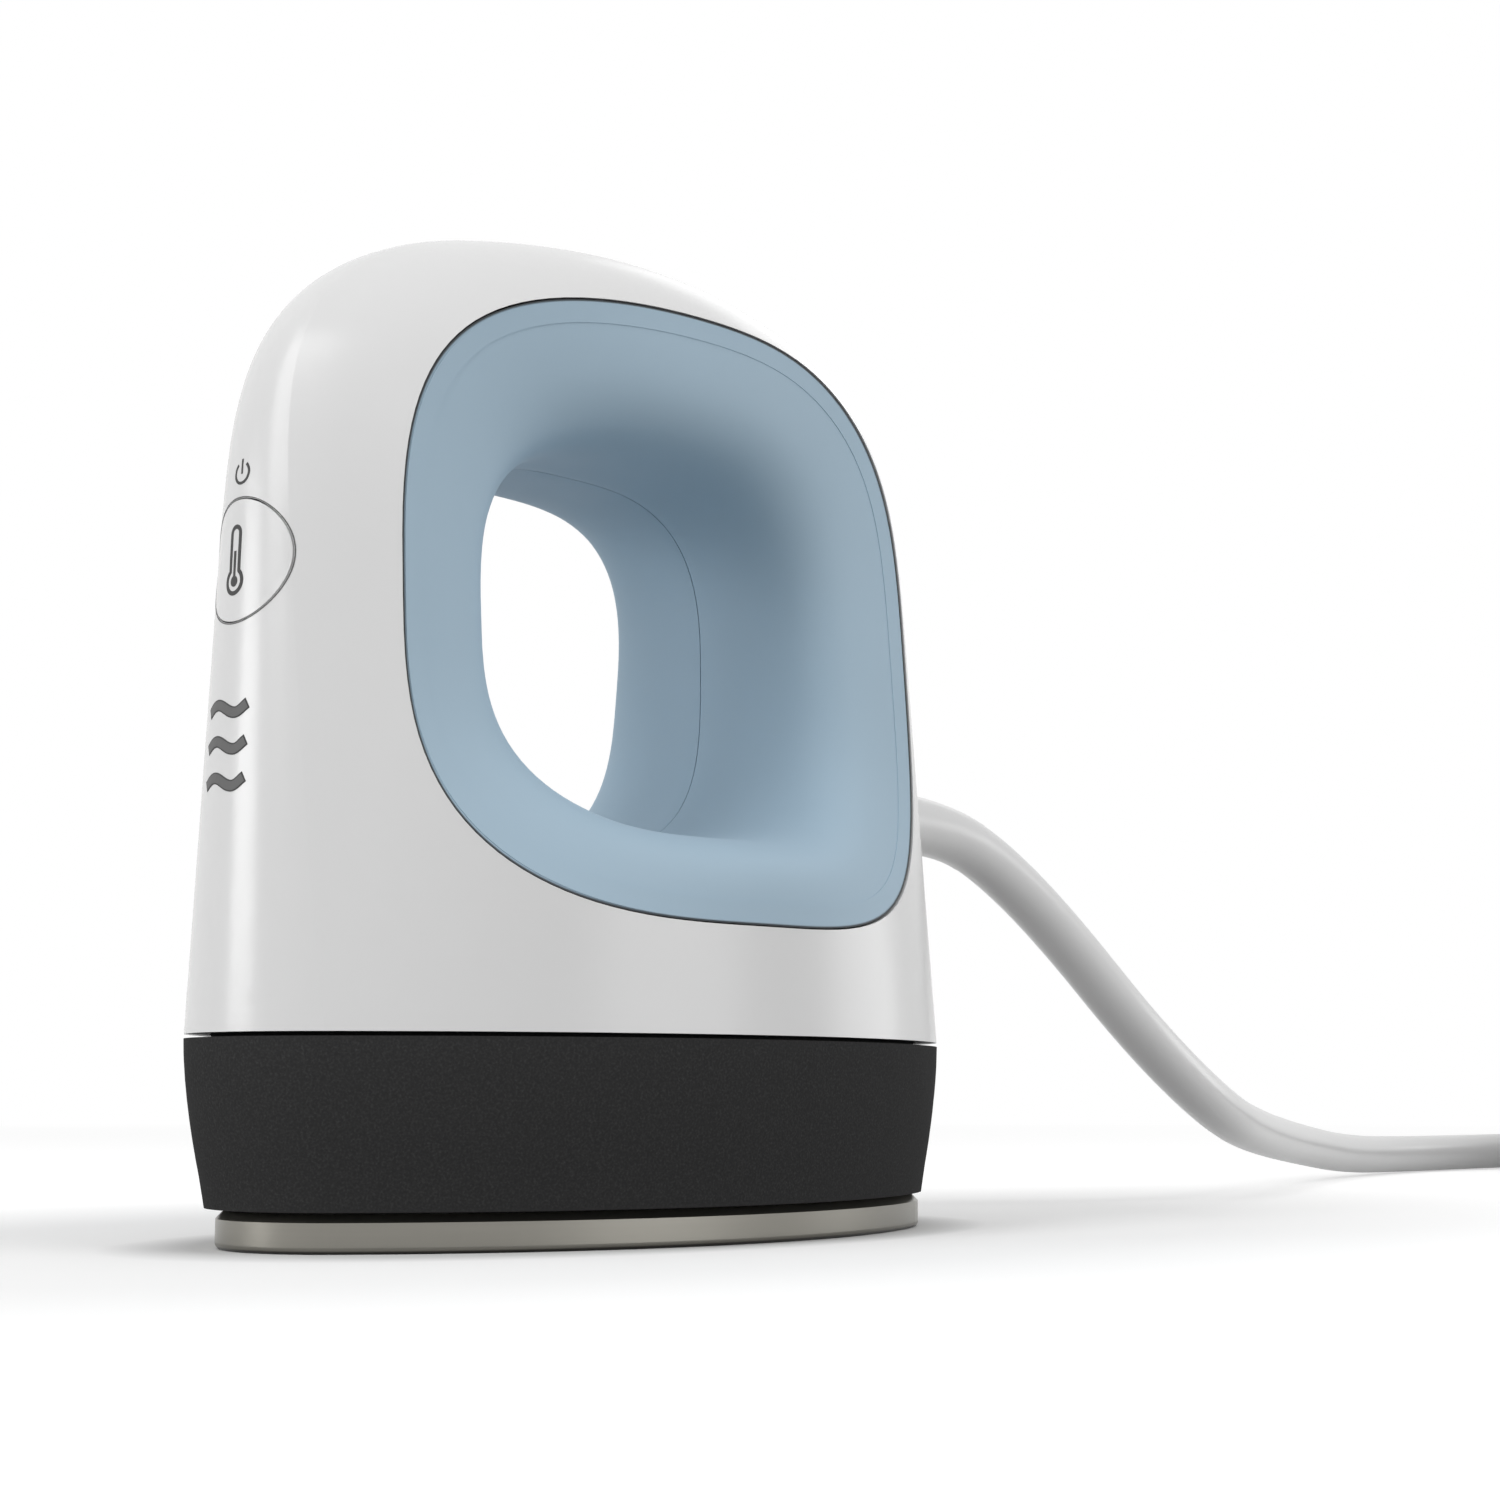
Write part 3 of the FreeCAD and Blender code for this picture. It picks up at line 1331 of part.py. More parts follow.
def make_plug():
    """Plug lead that leaves the coil's outermost turn, and the moulded plug on its side at its end."""
    centre = coil_centre()
    axis_x = centre.x + OUTER_TURN
    axis_z = COIL_EXIT_LEVEL
    lead_end = centre.y - size("plug_lead_length")
    shaped("plug_lead", rod((axis_x, centre.y, axis_z), (axis_x, lead_end, axis_z), CORD_RADIUS))

    body_end = lead_end - size("plug_relief_length")
    face = body_end - size("plug_length")
    sections = [
        # share of the length, narrowing of the width and of the height, then the corner radius
        (0.0, 1.0, 1.0, 2.5),
        (0.3, 0.0, 0.0, 3.5),
        (0.7, 4.0, 3.2, 4.5),
        (1.0, 12.5, 7.5, 5.0),
    ]
    wires = []
    for along, narrower, lower, corner in sections:
        half_u = (size("plug_width") - narrower) / 2
        half_v = axis_z - 3 * SEAT - lower / 2
        wire = rounded_rectangle(-half_u, -half_v, half_u, half_v, corner)
        wire.translate(Vector(axis_x, face + along * size("plug_length"), axis_z))
        wires.append(wire)
    grip = Part.makeLoft(wires, True, False)
    relief = Part.makeCone(
        size("relief_root_radius"),
        size("relief_tip_radius"),
        size("plug_relief_length") + 1,
        Vector(axis_x, body_end - 1, axis_z),
        Vector(0, 1, 0),
    )
    blade_x = axis_x + size("blade_offset")
    half_wide = size("blade_width") / 2
    half_thick = size("blade_thickness") / 2
    inside = size("blade_root")
    blades = []
    for side in (-1, 1):
        z = axis_z + side * size("blade_spacing") / 2
        low = (blade_x - half_wide, face - size("blade_length"), z - half_thick)
        blades.append(box(low, (blade_x + half_wide, face + inside, z + half_thick)))
    pin_x = blade_x - size("earth_pin_drop")
    pin_start = (pin_x, face - size("earth_pin_length"), axis_z)
    pin = rod(pin_start, (pin_x, face + inside, axis_z), size("earth_pin_radius"))
    tip = min(pin.Edges, key=lambda edge: edge.CenterOfMass.y)
    shaped("plug_body", grip.fuse(relief).cut(blades + [pin]).removeSplitter())
    shaped("plug_blades", Part.makeCompound(blades))
    shaped("earth_pin", pin.makeFillet(0.6 * size("earth_pin_radius"), [tip]))


make_heat_plate()
make_plate_gasket()
make_heating_element()
make_stack()
make_heat_sensors()
make_base_skirt()
make_inner_frame()
make_outer_shell()
make_chassis_screws()
make_grip_inserts()
make_control_board()
make_board_parts()
make_light_guide()
make_button()
make_switch()
make_strain_relief()
make_cord_clamp()
make_leads()
make_power_cord()
make_coil()
make_plug()
doc.recompute()

for item in doc.Objects:
    if "Invalid" in item.State or "Error" in item.State:
        raise RuntimeError(f"{item.Label} failed: {item.State}")
os.makedirs("parts", exist_ok=True)
for item in NODES:
    shape = item.Shape
    if shape.isNull() or not shape.isValid():
        raise RuntimeError(f"{item.Label} has no valid solid")
    shape.exportStep(f"parts/{item.Label}.step")
    corners = shape.optimalBoundingBox(False)
    print(
        f"{item.Label}: {len(shape.Solids)} solid, {len(shape.Faces)} faces, {shape.Volume:.1f} mm3,",
        f"x {corners.XMin:.1f} {corners.XMax:.1f} y {corners.YMin:.1f} {corners.YMax:.1f}",
        f"z {corners.ZMin:.1f} {corners.ZMax:.1f}",
    )
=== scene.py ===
"""Looks of a mini handheld heat press: finishes, printed marks, mains lead, plug and studio.

Lengths are in metres. The origin is the centre of the heat plate's sole, +Z is up,
and the side with the button faces -Y.
"""

from __future__ import annotations

import logging
from collections.abc import Sequence
from dataclasses import dataclass, field, replace
from enum import Enum
from functools import partialmethod
from math import asin, atan2, cos, degrees, pi, radians, sin, tau

import bmesh
import bpy
from bpy.types import Material, Mesh, Object
from mathutils import Matrix, Vector


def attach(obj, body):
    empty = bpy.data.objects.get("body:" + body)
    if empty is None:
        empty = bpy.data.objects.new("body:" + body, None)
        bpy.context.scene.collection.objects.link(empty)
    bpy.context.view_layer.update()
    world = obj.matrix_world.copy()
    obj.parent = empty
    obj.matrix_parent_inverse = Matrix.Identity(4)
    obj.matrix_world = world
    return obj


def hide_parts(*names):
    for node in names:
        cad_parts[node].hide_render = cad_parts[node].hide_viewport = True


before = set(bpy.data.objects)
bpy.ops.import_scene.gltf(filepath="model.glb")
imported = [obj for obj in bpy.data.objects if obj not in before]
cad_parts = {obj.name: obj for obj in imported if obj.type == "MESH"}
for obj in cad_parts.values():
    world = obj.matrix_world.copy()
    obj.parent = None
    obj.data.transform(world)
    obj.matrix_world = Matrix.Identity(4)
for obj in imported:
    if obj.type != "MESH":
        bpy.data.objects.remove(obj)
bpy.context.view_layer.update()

PRESS = "press"
BUTTON = "button"
MM = 0.001
WHITE = (1.0, 1.0, 1.0, 1.0)

Colour = tuple[float, float, float]
Point = tuple[float, float, float]
Stroke = tuple[Sequence[Point], float, bool]

log = logging.getLogger("heat_press")


# -------------------- node maths


class Signal:
    """One output of a node, on which Python's operators work."""

    def __init__(self, board: Tree, socket: bpy.types.NodeSocket) -> None:
        """Keeps the socket and the tree that it belongs to."""
        self.board = board
        self.socket = socket

    def maths(self, operation: str, *others: Signal | float) -> Signal:
        """Value of a Math node that takes this value first, then the others."""
        return self.board.node("ShaderNodeMath", {"operation": operation}, [self, *others])

    __add__ = partialmethod(maths, "ADD")
    __sub__ = partialmethod(maths, "SUBTRACT")
    __mul__ = partialmethod(maths, "MULTIPLY")
    __truediv__ = partialmethod(maths, "DIVIDE")
    __pow__ = partialmethod(maths, "POWER")

    def __rsub__(self, other: float) -> Signal:
        """A plain number minus this value."""
        return self.board.node("ShaderNodeMath", {"operation": "SUBTRACT"}, [other, self])

    def clamped(self) -> Signal:
        """This value kept between 0 and 1."""
        settings = {"operation": "ADD", "use_clamp": True}
        return self.board.node("ShaderNodeMath", settings, [self, 0.0])

    def spread(self, low: float, high: float) -> Signal:
        """This value, from 0 to 1, spread between two numbers."""
        return self * (high - low) + low


class Tree:
    """A node tree of any kind, to which one method adds every node."""

    def __init__(self, tree: bpy.types.NodeTree) -> None:
        """Keeps the tree."""
        self.tree = tree

    def node(
        self,
        kind: str,
        settings: dict[str, object] | None = None,
        inputs: Sequence[object] | dict[str | int, object] = (),
        output: str | int = 0,
    ) -> Signal:
        """Adds one node.

        Args:
            kind: The node's type.
            settings: Properties set before the inputs.
            inputs: Values or signals for the sockets, in order or by name or number.
            output: Name or number of the socket to return.

        Returns:
            The chosen output.
        """
        added = self.tree.nodes.new(kind)
        for key, value in (settings or {}).items():
            setattr(added, key, value)
        pairs = inputs.items() if isinstance(inputs, dict) else enumerate(inputs)
        for key, value in pairs:
            socket = added.inputs[key]
            if isinstance(value, Signal):
                self.tree.links.new(value.socket, socket)
            else:
                socket.default_value = value
        return Signal(self, added.outputs[output])

    def part(self, spot: Signal, axis: str) -> Signal:
        """One coordinate of a place: X, Y or Z."""
        return self.node("ShaderNodeSeparateXYZ", {}, [spot], axis)

    def eye(self) -> Signal:
        """1 for rays from the camera, mirrored rays and rays through glass, else 0."""
        kinds = ("Is Camera Ray", "Is Glossy Ray", "Is Transmission Ray")
        seen, mirrored, through = (self.node("ShaderNodeLightPath", output=kind) for kind in kinds)
        return (seen + mirrored + through).clamped()


class Board(Tree):
    """The node tree of one material."""

    MIX_SHARE, MIX_FIRST, MIX_SECOND = 0, 6, 7
    MIX_RESULT = 2

    def __init__(self, name: str) -> None:
        """Starts a material with nothing but its output."""
        self.material = bpy.data.materials.new(name)
        self.material.use_nodes = True
        super().__init__(self.material.node_tree)
        self.tree.nodes.clear()
        self.made = self.tree.nodes.new("ShaderNodeOutputMaterial")

    def place(self, scale: Point = (1.0, 1.0, 1.0)) -> Signal:
        """Object coordinates, scaled along the three axes."""
        spot = self.node("ShaderNodeTexCoord", output="Object")
        return self.node("ShaderNodeMapping", {}, {"Vector": spot, "Scale": scale})

    def noise(self, spot: Signal, scale: float, detail: float = 3.0, rough: float = 0.5) -> Signal:
        """Smooth noise from 0 to 1, in cycles per metre."""
        inputs = {"Vector": spot, "Scale": scale, "Detail": detail, "Roughness": rough}
        return self.node("ShaderNodeTexNoise", {"noise_dimensions": "3D"}, inputs)

    def blend(self, share: Signal, first: Signal | Colour, second: Signal | Colour) -> Signal:
        """Mixes two colours by a share from 0 to 1."""
        ends = [end if isinstance(end, Signal) else (*end, 1.0) for end in (first, second)]
        inputs = {self.MIX_SHARE: share, self.MIX_FIRST: ends[0], self.MIX_SECOND: ends[1]}
        return self.node("ShaderNodeMix", {"data_type": "RGBA"}, inputs, self.MIX_RESULT)

    def relief(self, height: Signal, depth: float, strength: float) -> Signal:
        """Normal bent by a height from 0 to 1, of a depth in metres and a share that shows."""
        inputs = {"Strength": strength, "Distance": depth, "Height": height}
        return self.node("ShaderNodeBump", {}, inputs)

    def finish(self, shader: Signal) -> Material:
        """Connects the shader to the output and returns the material."""
        self.tree.links.new(shader.socket, self.made.inputs["Surface"])
        return self.material


class Recipe(Tree):
    """A Geometry Nodes tree with named inputs, which makes pieces."""

    def __init__(self, name: str) -> None:
        """Starts a tree with its entry and its exit."""
        super().__init__(bpy.data.node_groups.new(name, "GeometryNodeTree"))
        self.sockets = self.tree.interface
        self.sockets.new_socket("Geometry", in_out="OUTPUT", socket_type="NodeSocketGeometry")
        self.entry = self.tree.nodes.new("NodeGroupInput")
        self.exit = self.tree.nodes.new("NodeGroupOutput")
        self.keys: dict[str, str] = {}

    def given(self, name: str, kind: str = "Float") -> Signal:
        """Adds a named input.

        Args:
            name: The input's name.
            kind: Its socket type: Float, Int, Object or Material.

        Returns:
            The input's value.
        """
        item = self.sockets.new_socket(name, in_out="INPUT", socket_type=f"NodeSocket{kind}")
        self.keys[name] = item.identifier
        return Signal(self, self.entry.outputs[name])

    def shape_of(self, name: str) -> Signal:
        """Geometry of an object given as a named input."""
        return self.node("GeometryNodeObjectInfo", {}, [self.given(name, "Object")], "Geometry")

    def finish(self, geometry: Signal) -> None:
        """Realizes the geometry, gives it the material input and ends the tree."""
        real = self.node("GeometryNodeRealizeInstances", {}, [geometry])
        finish = self.given("finish", "Material")
        made = self.node("GeometryNodeSetMaterial", {}, {"Geometry": real, "Material": finish})
        self.tree.links.new(made.socket, self.exit.inputs[0])

    def swept(self, path: Signal, profile: Signal, scale: Signal) -> Signal:
        """Closed mesh of a profile swept along a path."""
        inputs = {"Curve": path, "Profile Curve": profile, "Scale": scale, "Fill Caps": True}
        return self.node("GeometryNodeCurveToMesh", {}, inputs)

    def piece(
        self, name: str, strokes: Sequence[Stroke], look: Look, body: str, **values: object
    ) -> Object:
        """Evaluates the tree once, on strokes, and makes a piece of its mesh.

        Args:
            name: The piece's name.
            strokes: Points, width and whether the stroke closes, for each stroke.
            look: The piece's finish.
            body: The body that carries it.
            values: A value for each other named input.

        Returns:
            The new piece.
        """
        curve = drawn(name, strokes)
        curve.data.twist_mode = "Z_UP"
        carrier = linked("carrier", bpy.data.meshes.new("carrier"))
        modifier = carrier.modifiers.new("recipe", "NODES")
        modifier.node_group = self.tree
        for key, value in {"strokes": curve, "finish": look.material(), **values}.items():
            modifier[self.keys[key]] = value
        mesh = settled(carrier)
        carrier.modifiers.clear()
        for helper in (carrier, curve):
            bpy.data.objects.remove(helper)
        tidy_mesh(mesh)
        return new_piece(name, mesh, look, body)


# -------------------- finishes


def shade(colour: Colour, factor: float) -> Colour:
    """The colour times a factor."""
    return (colour[0] * factor, colour[1] * factor, colour[2] * factor)


@dataclass(frozen=True)
class Finish:
    """Moulded plastic: slight colour drift, uneven gloss and a fine orange-peel skin."""

    name: str
    colour: Colour
    roughness: float = 0.4
    metallic: float = 0.0
    drift: float = 0.03
    drift_scale: float = 60.0
    gloss_drift: float = 0.06
    gloss_patches: float = 4.0
    skin_scale: float = 1600.0
    skin_depth: float = 0.000012
    skin_strength: float = 0.25
    coat: float = 0.0
    coat_roughness: float = 0.1
    sheen: float = 0.0
    specular: float = 0.5
    stretch: Point = (1.0, 1.0, 1.0)

    @property
    def title(self) -> str:
        """Name of the material, apart from the names that the CAD nodes bring along."""
        return f"{self.name}_finish"

    def colours(self, board: Board, spot: Signal) -> Signal:
        """Base colour over the surface."""
        drift = board.noise(spot, self.drift_scale)
        dark, pale = shade(self.colour, 1 - self.drift), shade(self.colour, 1 + self.drift)
        return board.blend(drift, dark, pale)

    def gloss(self, board: Board, spot: Signal) -> Signal:
        """Pattern of the roughness, from 0 to 1."""
        return board.noise(spot, self.drift_scale * self.gloss_patches)

    def skin(self, board: Board, spot: Signal) -> Signal:
        """Height of the surface's texture, from 0 to 1."""
        return board.noise(spot, self.skin_scale, detail=2.0)

    def make(self) -> Material:
        """Builds the material."""
        board = Board(self.title)
        spot = board.place(self.stretch)
        low, high = self.roughness - self.gloss_drift, self.roughness + self.gloss_drift
        inputs = {
            "Base Color": self.colours(board, spot),
            "Roughness": self.gloss(board, spot).spread(low, high),
            "Normal": board.relief(self.skin(board, spot), self.skin_depth, self.skin_strength),
            "Metallic": self.metallic,
            "Coat Weight": self.coat,
            "Coat Roughness": self.coat_roughness,
            "Sheen Weight": self.sheen,
            "Specular IOR Level": self.specular,
        }
        return board.finish(board.node("ShaderNodeBsdfPrincipled", {}, inputs))


@dataclass(frozen=True)
class Sanded(Finish):
    """Heat-proof plastic or rubber with a fine sandy grain and paler specks."""

    speck: Colour = (0.075, 0.075, 0.075)
    speck_share: float = 0.35
    speck_power: float = 3.0
    speck_gain: float = 4.0
    grain_scale: float = 3300.0

    def colours(self, board: Board, spot: Signal) -> Signal:
        """Dark ground with paler grain tips."""
        tips = board.noise(spot, self.grain_scale, detail=1.0) ** self.speck_power
        share = (tips * (self.speck_gain * self.speck_share)).clamped()
        return board.blend(share, self.colour, self.speck)

    def skin(self, board: Board, spot: Signal) -> Signal:
        """Even fine grain."""
        return board.noise(spot, self.grain_scale, detail=2.0, rough=0.6)


@dataclass(frozen=True)
class SoftTouch(Finish):
    """Soft-touch plastic of the hand hole's liner, with painted shade along its rim."""

    centre_y: float = -2.75 * MM
    centre_z: float = 59.2 * MM
    half_length: float = 32.3 * MM
    half_height: float = 30.1 * MM
    squareness: float = 3.22
    edge_start: float = 0.987
    edge_width: float = 0.005
    edge_shade: float = 0.05

    def reach(self, board: Board, spot: Signal) -> Signal:
        """How far out a point lies between the hole's centre and its rim.

        Args:
            board: The material's tree.
            spot: The point.

        Returns:
            0 at the centre and 1 at the rim.
        """
        far_y = ((board.part(spot, "Y") - self.centre_y) / self.half_length).maths("ABSOLUTE")
        far_z = ((board.part(spot, "Z") - self.centre_z) / self.half_height).maths("ABSOLUTE")
        total = far_y**self.squareness + far_z**self.squareness
        return total ** (1 / self.squareness)

    def colours(self, board: Board, spot: Signal) -> Signal:
        """Blue with painted shade where the rim turns down into its seam."""
        blue = super().colours(board, spot)
        # painted shade: the blue darkens towards the rim, where the seam's shade falls
        edge = ((self.reach(board, spot) - self.edge_start) / self.edge_width).clamped()
        return board.blend(edge, blue, shade(self.colour, self.edge_shade))


@dataclass(frozen=True)
class Brushed(Finish):
    """Metal with fine scratches, which run across the axis of the largest stretch."""

    stretch: Point = (1.0, 1.0, 40.0)
    scratch_scale: float = 500.0

    def gloss(self, board: Board, spot: Signal) -> Signal:
        """Roughness that varies from scratch to scratch."""
        return self.skin(board, spot)

    def skin(self, board: Board, spot: Signal) -> Signal:
        """Height of the scratches."""
        return board.noise(spot, self.scratch_scale, detail=4.0, rough=0.7)


@dataclass(frozen=True)
class EdgeShadedMetal(Brushed):
    """Brushed metal with painted shade along its lower edge, where it meets the floor."""

    coat_top: float = 0.35 * MM
    coat_fade: float = 0.15 * MM
    coat_shade: float = 0.22

    def colours(self, board: Board, spot: Signal) -> Signal:
        """Metal with painted shade along its lower edge."""
        metal = super().colours(board, spot)
        up = board.part(spot, "Z") / self.stretch[2]
        # painted shade: dark at the bottom of the plate, fading out upwards
        share = ((up - self.coat_top) / -self.coat_fade).clamped()
        return board.blend(share, metal, shade(self.colour, self.coat_shade))


class Look(Enum):
    """Every finish of the press, one member for each."""

    SHELL = Finish(
        "white_abs", (0.715, 0.715, 0.715), 0.24, drift=0.008, gloss_drift=0.02,
        skin_depth=0.000006, skin_strength=0.12, specular=0.48,
    )
    LINER = SoftTouch(
        "blue_soft_touch", (0.365, 0.49, 0.59), 0.62, drift=0.015, gloss_drift=0.05,
        skin_scale=4200.0, skin_depth=0.00001, skin_strength=0.3, sheen=0.04,
    )
    SKIRT = Sanded(
        "charcoal_skirt", (0.031, 0.031, 0.0315), 0.9, skin_depth=0.00002, skin_strength=0.8,
        speck=(0.065, 0.065, 0.065), speck_share=0.28, grain_scale=4600.0, specular=0.03,
    )
    # painted shade: a dark ring laid in the gap round the button
    GAP_SHADE = Finish(
        "dark_seal", (0.1, 0.1, 0.1), 0.6, skin_depth=0.000004, skin_strength=0.1, specular=0.2
    )
    PLATE = EdgeShadedMetal(
        "coated_plate", (0.24, 0.231, 0.205), 0.3, metallic=0.9, drift=0.03, gloss_drift=0.05,
        skin_depth=0.000004, skin_strength=0.3,
    )
    SILICONE = Sanded(
        "dark_silicone", (0.03, 0.029, 0.028), 0.7, skin_depth=0.00001, skin_strength=0.3
    )
    SHEATH = Brushed("heater_sheath", (0.4, 0.36, 0.3), 0.42, metallic=1.0, gloss_drift=0.1)
    ALUMINIUM = Brushed(
        "mill_aluminium", (0.72, 0.73, 0.75), 0.34, metallic=1.0, stretch=(1.0, 40.0, 1.0)
    )
    FELT = Finish(
        "insulation_felt", (0.78, 0.75, 0.68), 0.95, drift=0.12, drift_scale=700.0,
        skin_scale=1500.0, skin_depth=0.0002, skin_strength=0.8, sheen=0.3,
    )
    STEEL = Brushed("zinc_steel", (0.62, 0.62, 0.6), 0.3, metallic=1.0, stretch=(8.0, 8.0, 8.0))
    RESIN = Finish("amber_resin", (0.3, 0.2, 0.09), 0.25, drift=0.1, drift_scale=500.0, coat=0.4)
    CHASSIS = Finish(
        "black_chassis", (0.045, 0.045, 0.047), 0.5, skin_scale=2500.0, skin_depth=0.00002
    )
    LAMINATE = Finish(
        "board_laminate", (0.02, 0.16, 0.06), 0.35, drift=0.2, drift_scale=900.0, coat=0.5
    )
    CHIP = Sanded(
        "chip_resin", (0.02, 0.02, 0.021), 0.5, speck=(0.05, 0.05, 0.05), grain_scale=6000.0
    )
    TERMINAL = Finish("terminal_nylon", (0.03, 0.22, 0.1), 0.45)
    LENS = Finish("led_lens", (0.85, 0.84, 0.78), 0.2, coat=0.6)
    GUIDE = Finish("light_guide", (0.08, 0.08, 0.08), 0.55)
    CORD = Finish(
        "cord_white", (0.7, 0.7, 0.7), 0.33, drift=0.02, gloss_drift=0.05, skin_scale=900.0,
        skin_depth=0.00001, skin_strength=0.2, coat=0.15, coat_roughness=0.25,
    )
    SLEEVE = Finish("wire_sleeve", (0.72, 0.69, 0.6), 0.5, drift=0.06)
    EARTH = Finish("earth_sleeve", (0.2, 0.42, 0.06), 0.5, drift=0.06)
    TIE = Sanded("hook_loop_tie", (0.05, 0.05, 0.052), 0.9, skin_depth=0.0001, skin_strength=0.8)
    BRASS = Brushed(
        "nickel_brass", (0.74, 0.66, 0.5), 0.26, metallic=1.0, stretch=(1.0, 30.0, 1.0)
    )
    INK = Finish("grey_ink", (0.05, 0.05, 0.05), 0.55, skin_strength=0.1, specular=0.25)
    WINDOW = Finish(
        "smoked_window", (0.12, 0.12, 0.12), 0.5, drift=0.12, skin_strength=0.1, specular=0.25
    )

    def material(self) -> Material:
        """The material of this finish, built once."""
        return bpy.data.materials.get(self.value.title) or self.value.make()


def paint(piece: Object, look: Look) -> Object:
    """Gives every face of a piece one finish.

    Args:
        piece: The piece to paint.
        look: Its finish.

    Returns:
        The same piece.
    """
    piece.data.materials.clear()
    piece.data.materials.append(look.material())
    if piece.type == "MESH":
        for face in piece.data.polygons:
            face.material_index = 0
    return piece


# -------------------- mesh helpers


def linked(name: str, data: bpy.types.ID) -> Object:
    """New object that shows some data, linked to the scene."""
    thing = bpy.data.objects.new(name, data)
    bpy.context.scene.collection.objects.link(thing)
    return thing


def settled(thing: Object) -> Mesh:
    """Plain mesh of an object with its modifiers and curve settings worked out."""
    bpy.context.view_layer.update()
    ready = thing.evaluated_get(bpy.context.evaluated_depsgraph_get())
    return bpy.data.meshes.new_from_object(ready)


def new_piece(name: str, mesh: Mesh, look: Look, body: str) -> Object:
    """Links a finished mesh to the scene, paints it and lets it ride on a body.

    Args:
        name: The piece's name.
        mesh: Its mesh, already in place.
        look: Its finish.
        body: The body that carries it.

    Returns:
        The new piece.
    """
    piece = paint(linked(name, mesh), look)
    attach(piece, body)
    log.info("%s: %d faces on %s", name, len(mesh.polygons), body)
    return piece


def tidy_mesh(mesh: Mesh, merge: float = 1e-6, smooth_below: float = 35.0) -> None:
    """Merges doubles, turns the faces outwards and smooths all but the sharp edges.

    Args:
        mesh: The mesh to tidy.
        merge: Distance under which vertices join.
        smooth_below: Edges that bend less than this many degrees are shaded smooth.
    """
    work = bmesh.new()
    work.from_mesh(mesh)
    bmesh.ops.remove_doubles(work, verts=work.verts, dist=merge)
    bmesh.ops.recalc_face_normals(work, faces=work.faces)
    limit = radians(smooth_below)
    for edge in work.edges:
        edge.smooth = len(edge.link_faces) == 2 and edge.calc_face_angle(pi) < limit
    for face in work.faces:
        face.smooth = True
    work.to_mesh(mesh)
    work.free()


def drawn(name: str, strokes: Sequence[Stroke], kind: str = "POLY") -> Object:
    """Curve object with one spline for each stroke, linked to the scene.

    Args:
        name: The object's name.
        strokes: Points, width and whether the stroke closes, for each spline.
        kind: The splines' type.

    Returns:
        The curve object, whose point radius is the stroke's width.
    """
    curve = bpy.data.curves.new(name, "CURVE")
    curve.dimensions = "3D"
    for points, width, closed in strokes:
        spline = curve.splines.new(kind)
        spline.points.add(len(points) - 1)
        for spot, place in zip(spline.points, points):
            spot.co = (*place, 1.0)
            spot.radius = width
        spline.use_cyclic_u = closed
    return linked(name, curve)


def loft(*runs: Sequence[Sequence[Vector]], closed: bool = False) -> Mesh:
    """Mesh through rings of equally many points.

    Args:
        runs: Rings of each run, in order.
        closed: Whether the first run meets its own start. Every other run has filled ends.

    Returns:
        The mesh.
    """
    work = bmesh.new()
    for run in runs:
        rows = [[work.verts.new(point) for point in ring] for ring in run]
        pairs = list(zip(rows, rows[1:]))
        if closed and run is runs[0]:
            pairs.append((rows[-1], rows[0]))
        else:
            work.faces.new(list(reversed(rows[0])))
            work.faces.new(rows[-1])
        for first, second in pairs:
            for k in range(len(first)):
                n = (k + 1) % len(first)
                work.faces.new((first[k], first[n], second[n], second[k]))
    mesh = bpy.data.meshes.new("loft")
    work.to_mesh(mesh)
    work.free()
    tidy_mesh(mesh)
    return mesh


def arc(
    centre: tuple[float, float], radius: float, start: float, end: float, steps: int
) -> list[Point]:
    """Points of an arc in the flat plane.

    Args:
        centre: Its centre.
        radius: Its radius.
        start: Angle of its first point in degrees.
        end: Angle of its last point in degrees.
        steps: How many runs it has.

    Returns:
        The points.
    """
    x, y = centre
    turns = [radians(start + (end - start) * i / steps) for i in range(steps + 1)]
    return [(x + radius * cos(t), y + radius * sin(t), 0.0) for t in turns]


# -------------------- recipes

THROW = 0.08  # metres that a stroke starts from the middle plane, and flies at most
SLEEVE_POINTS = 241
SLEEVE_SIDES = 56
TAPER_POWER = 2.0
GROOVE_LAND = 0.62  # share of a groove's pitch that keeps the full radius


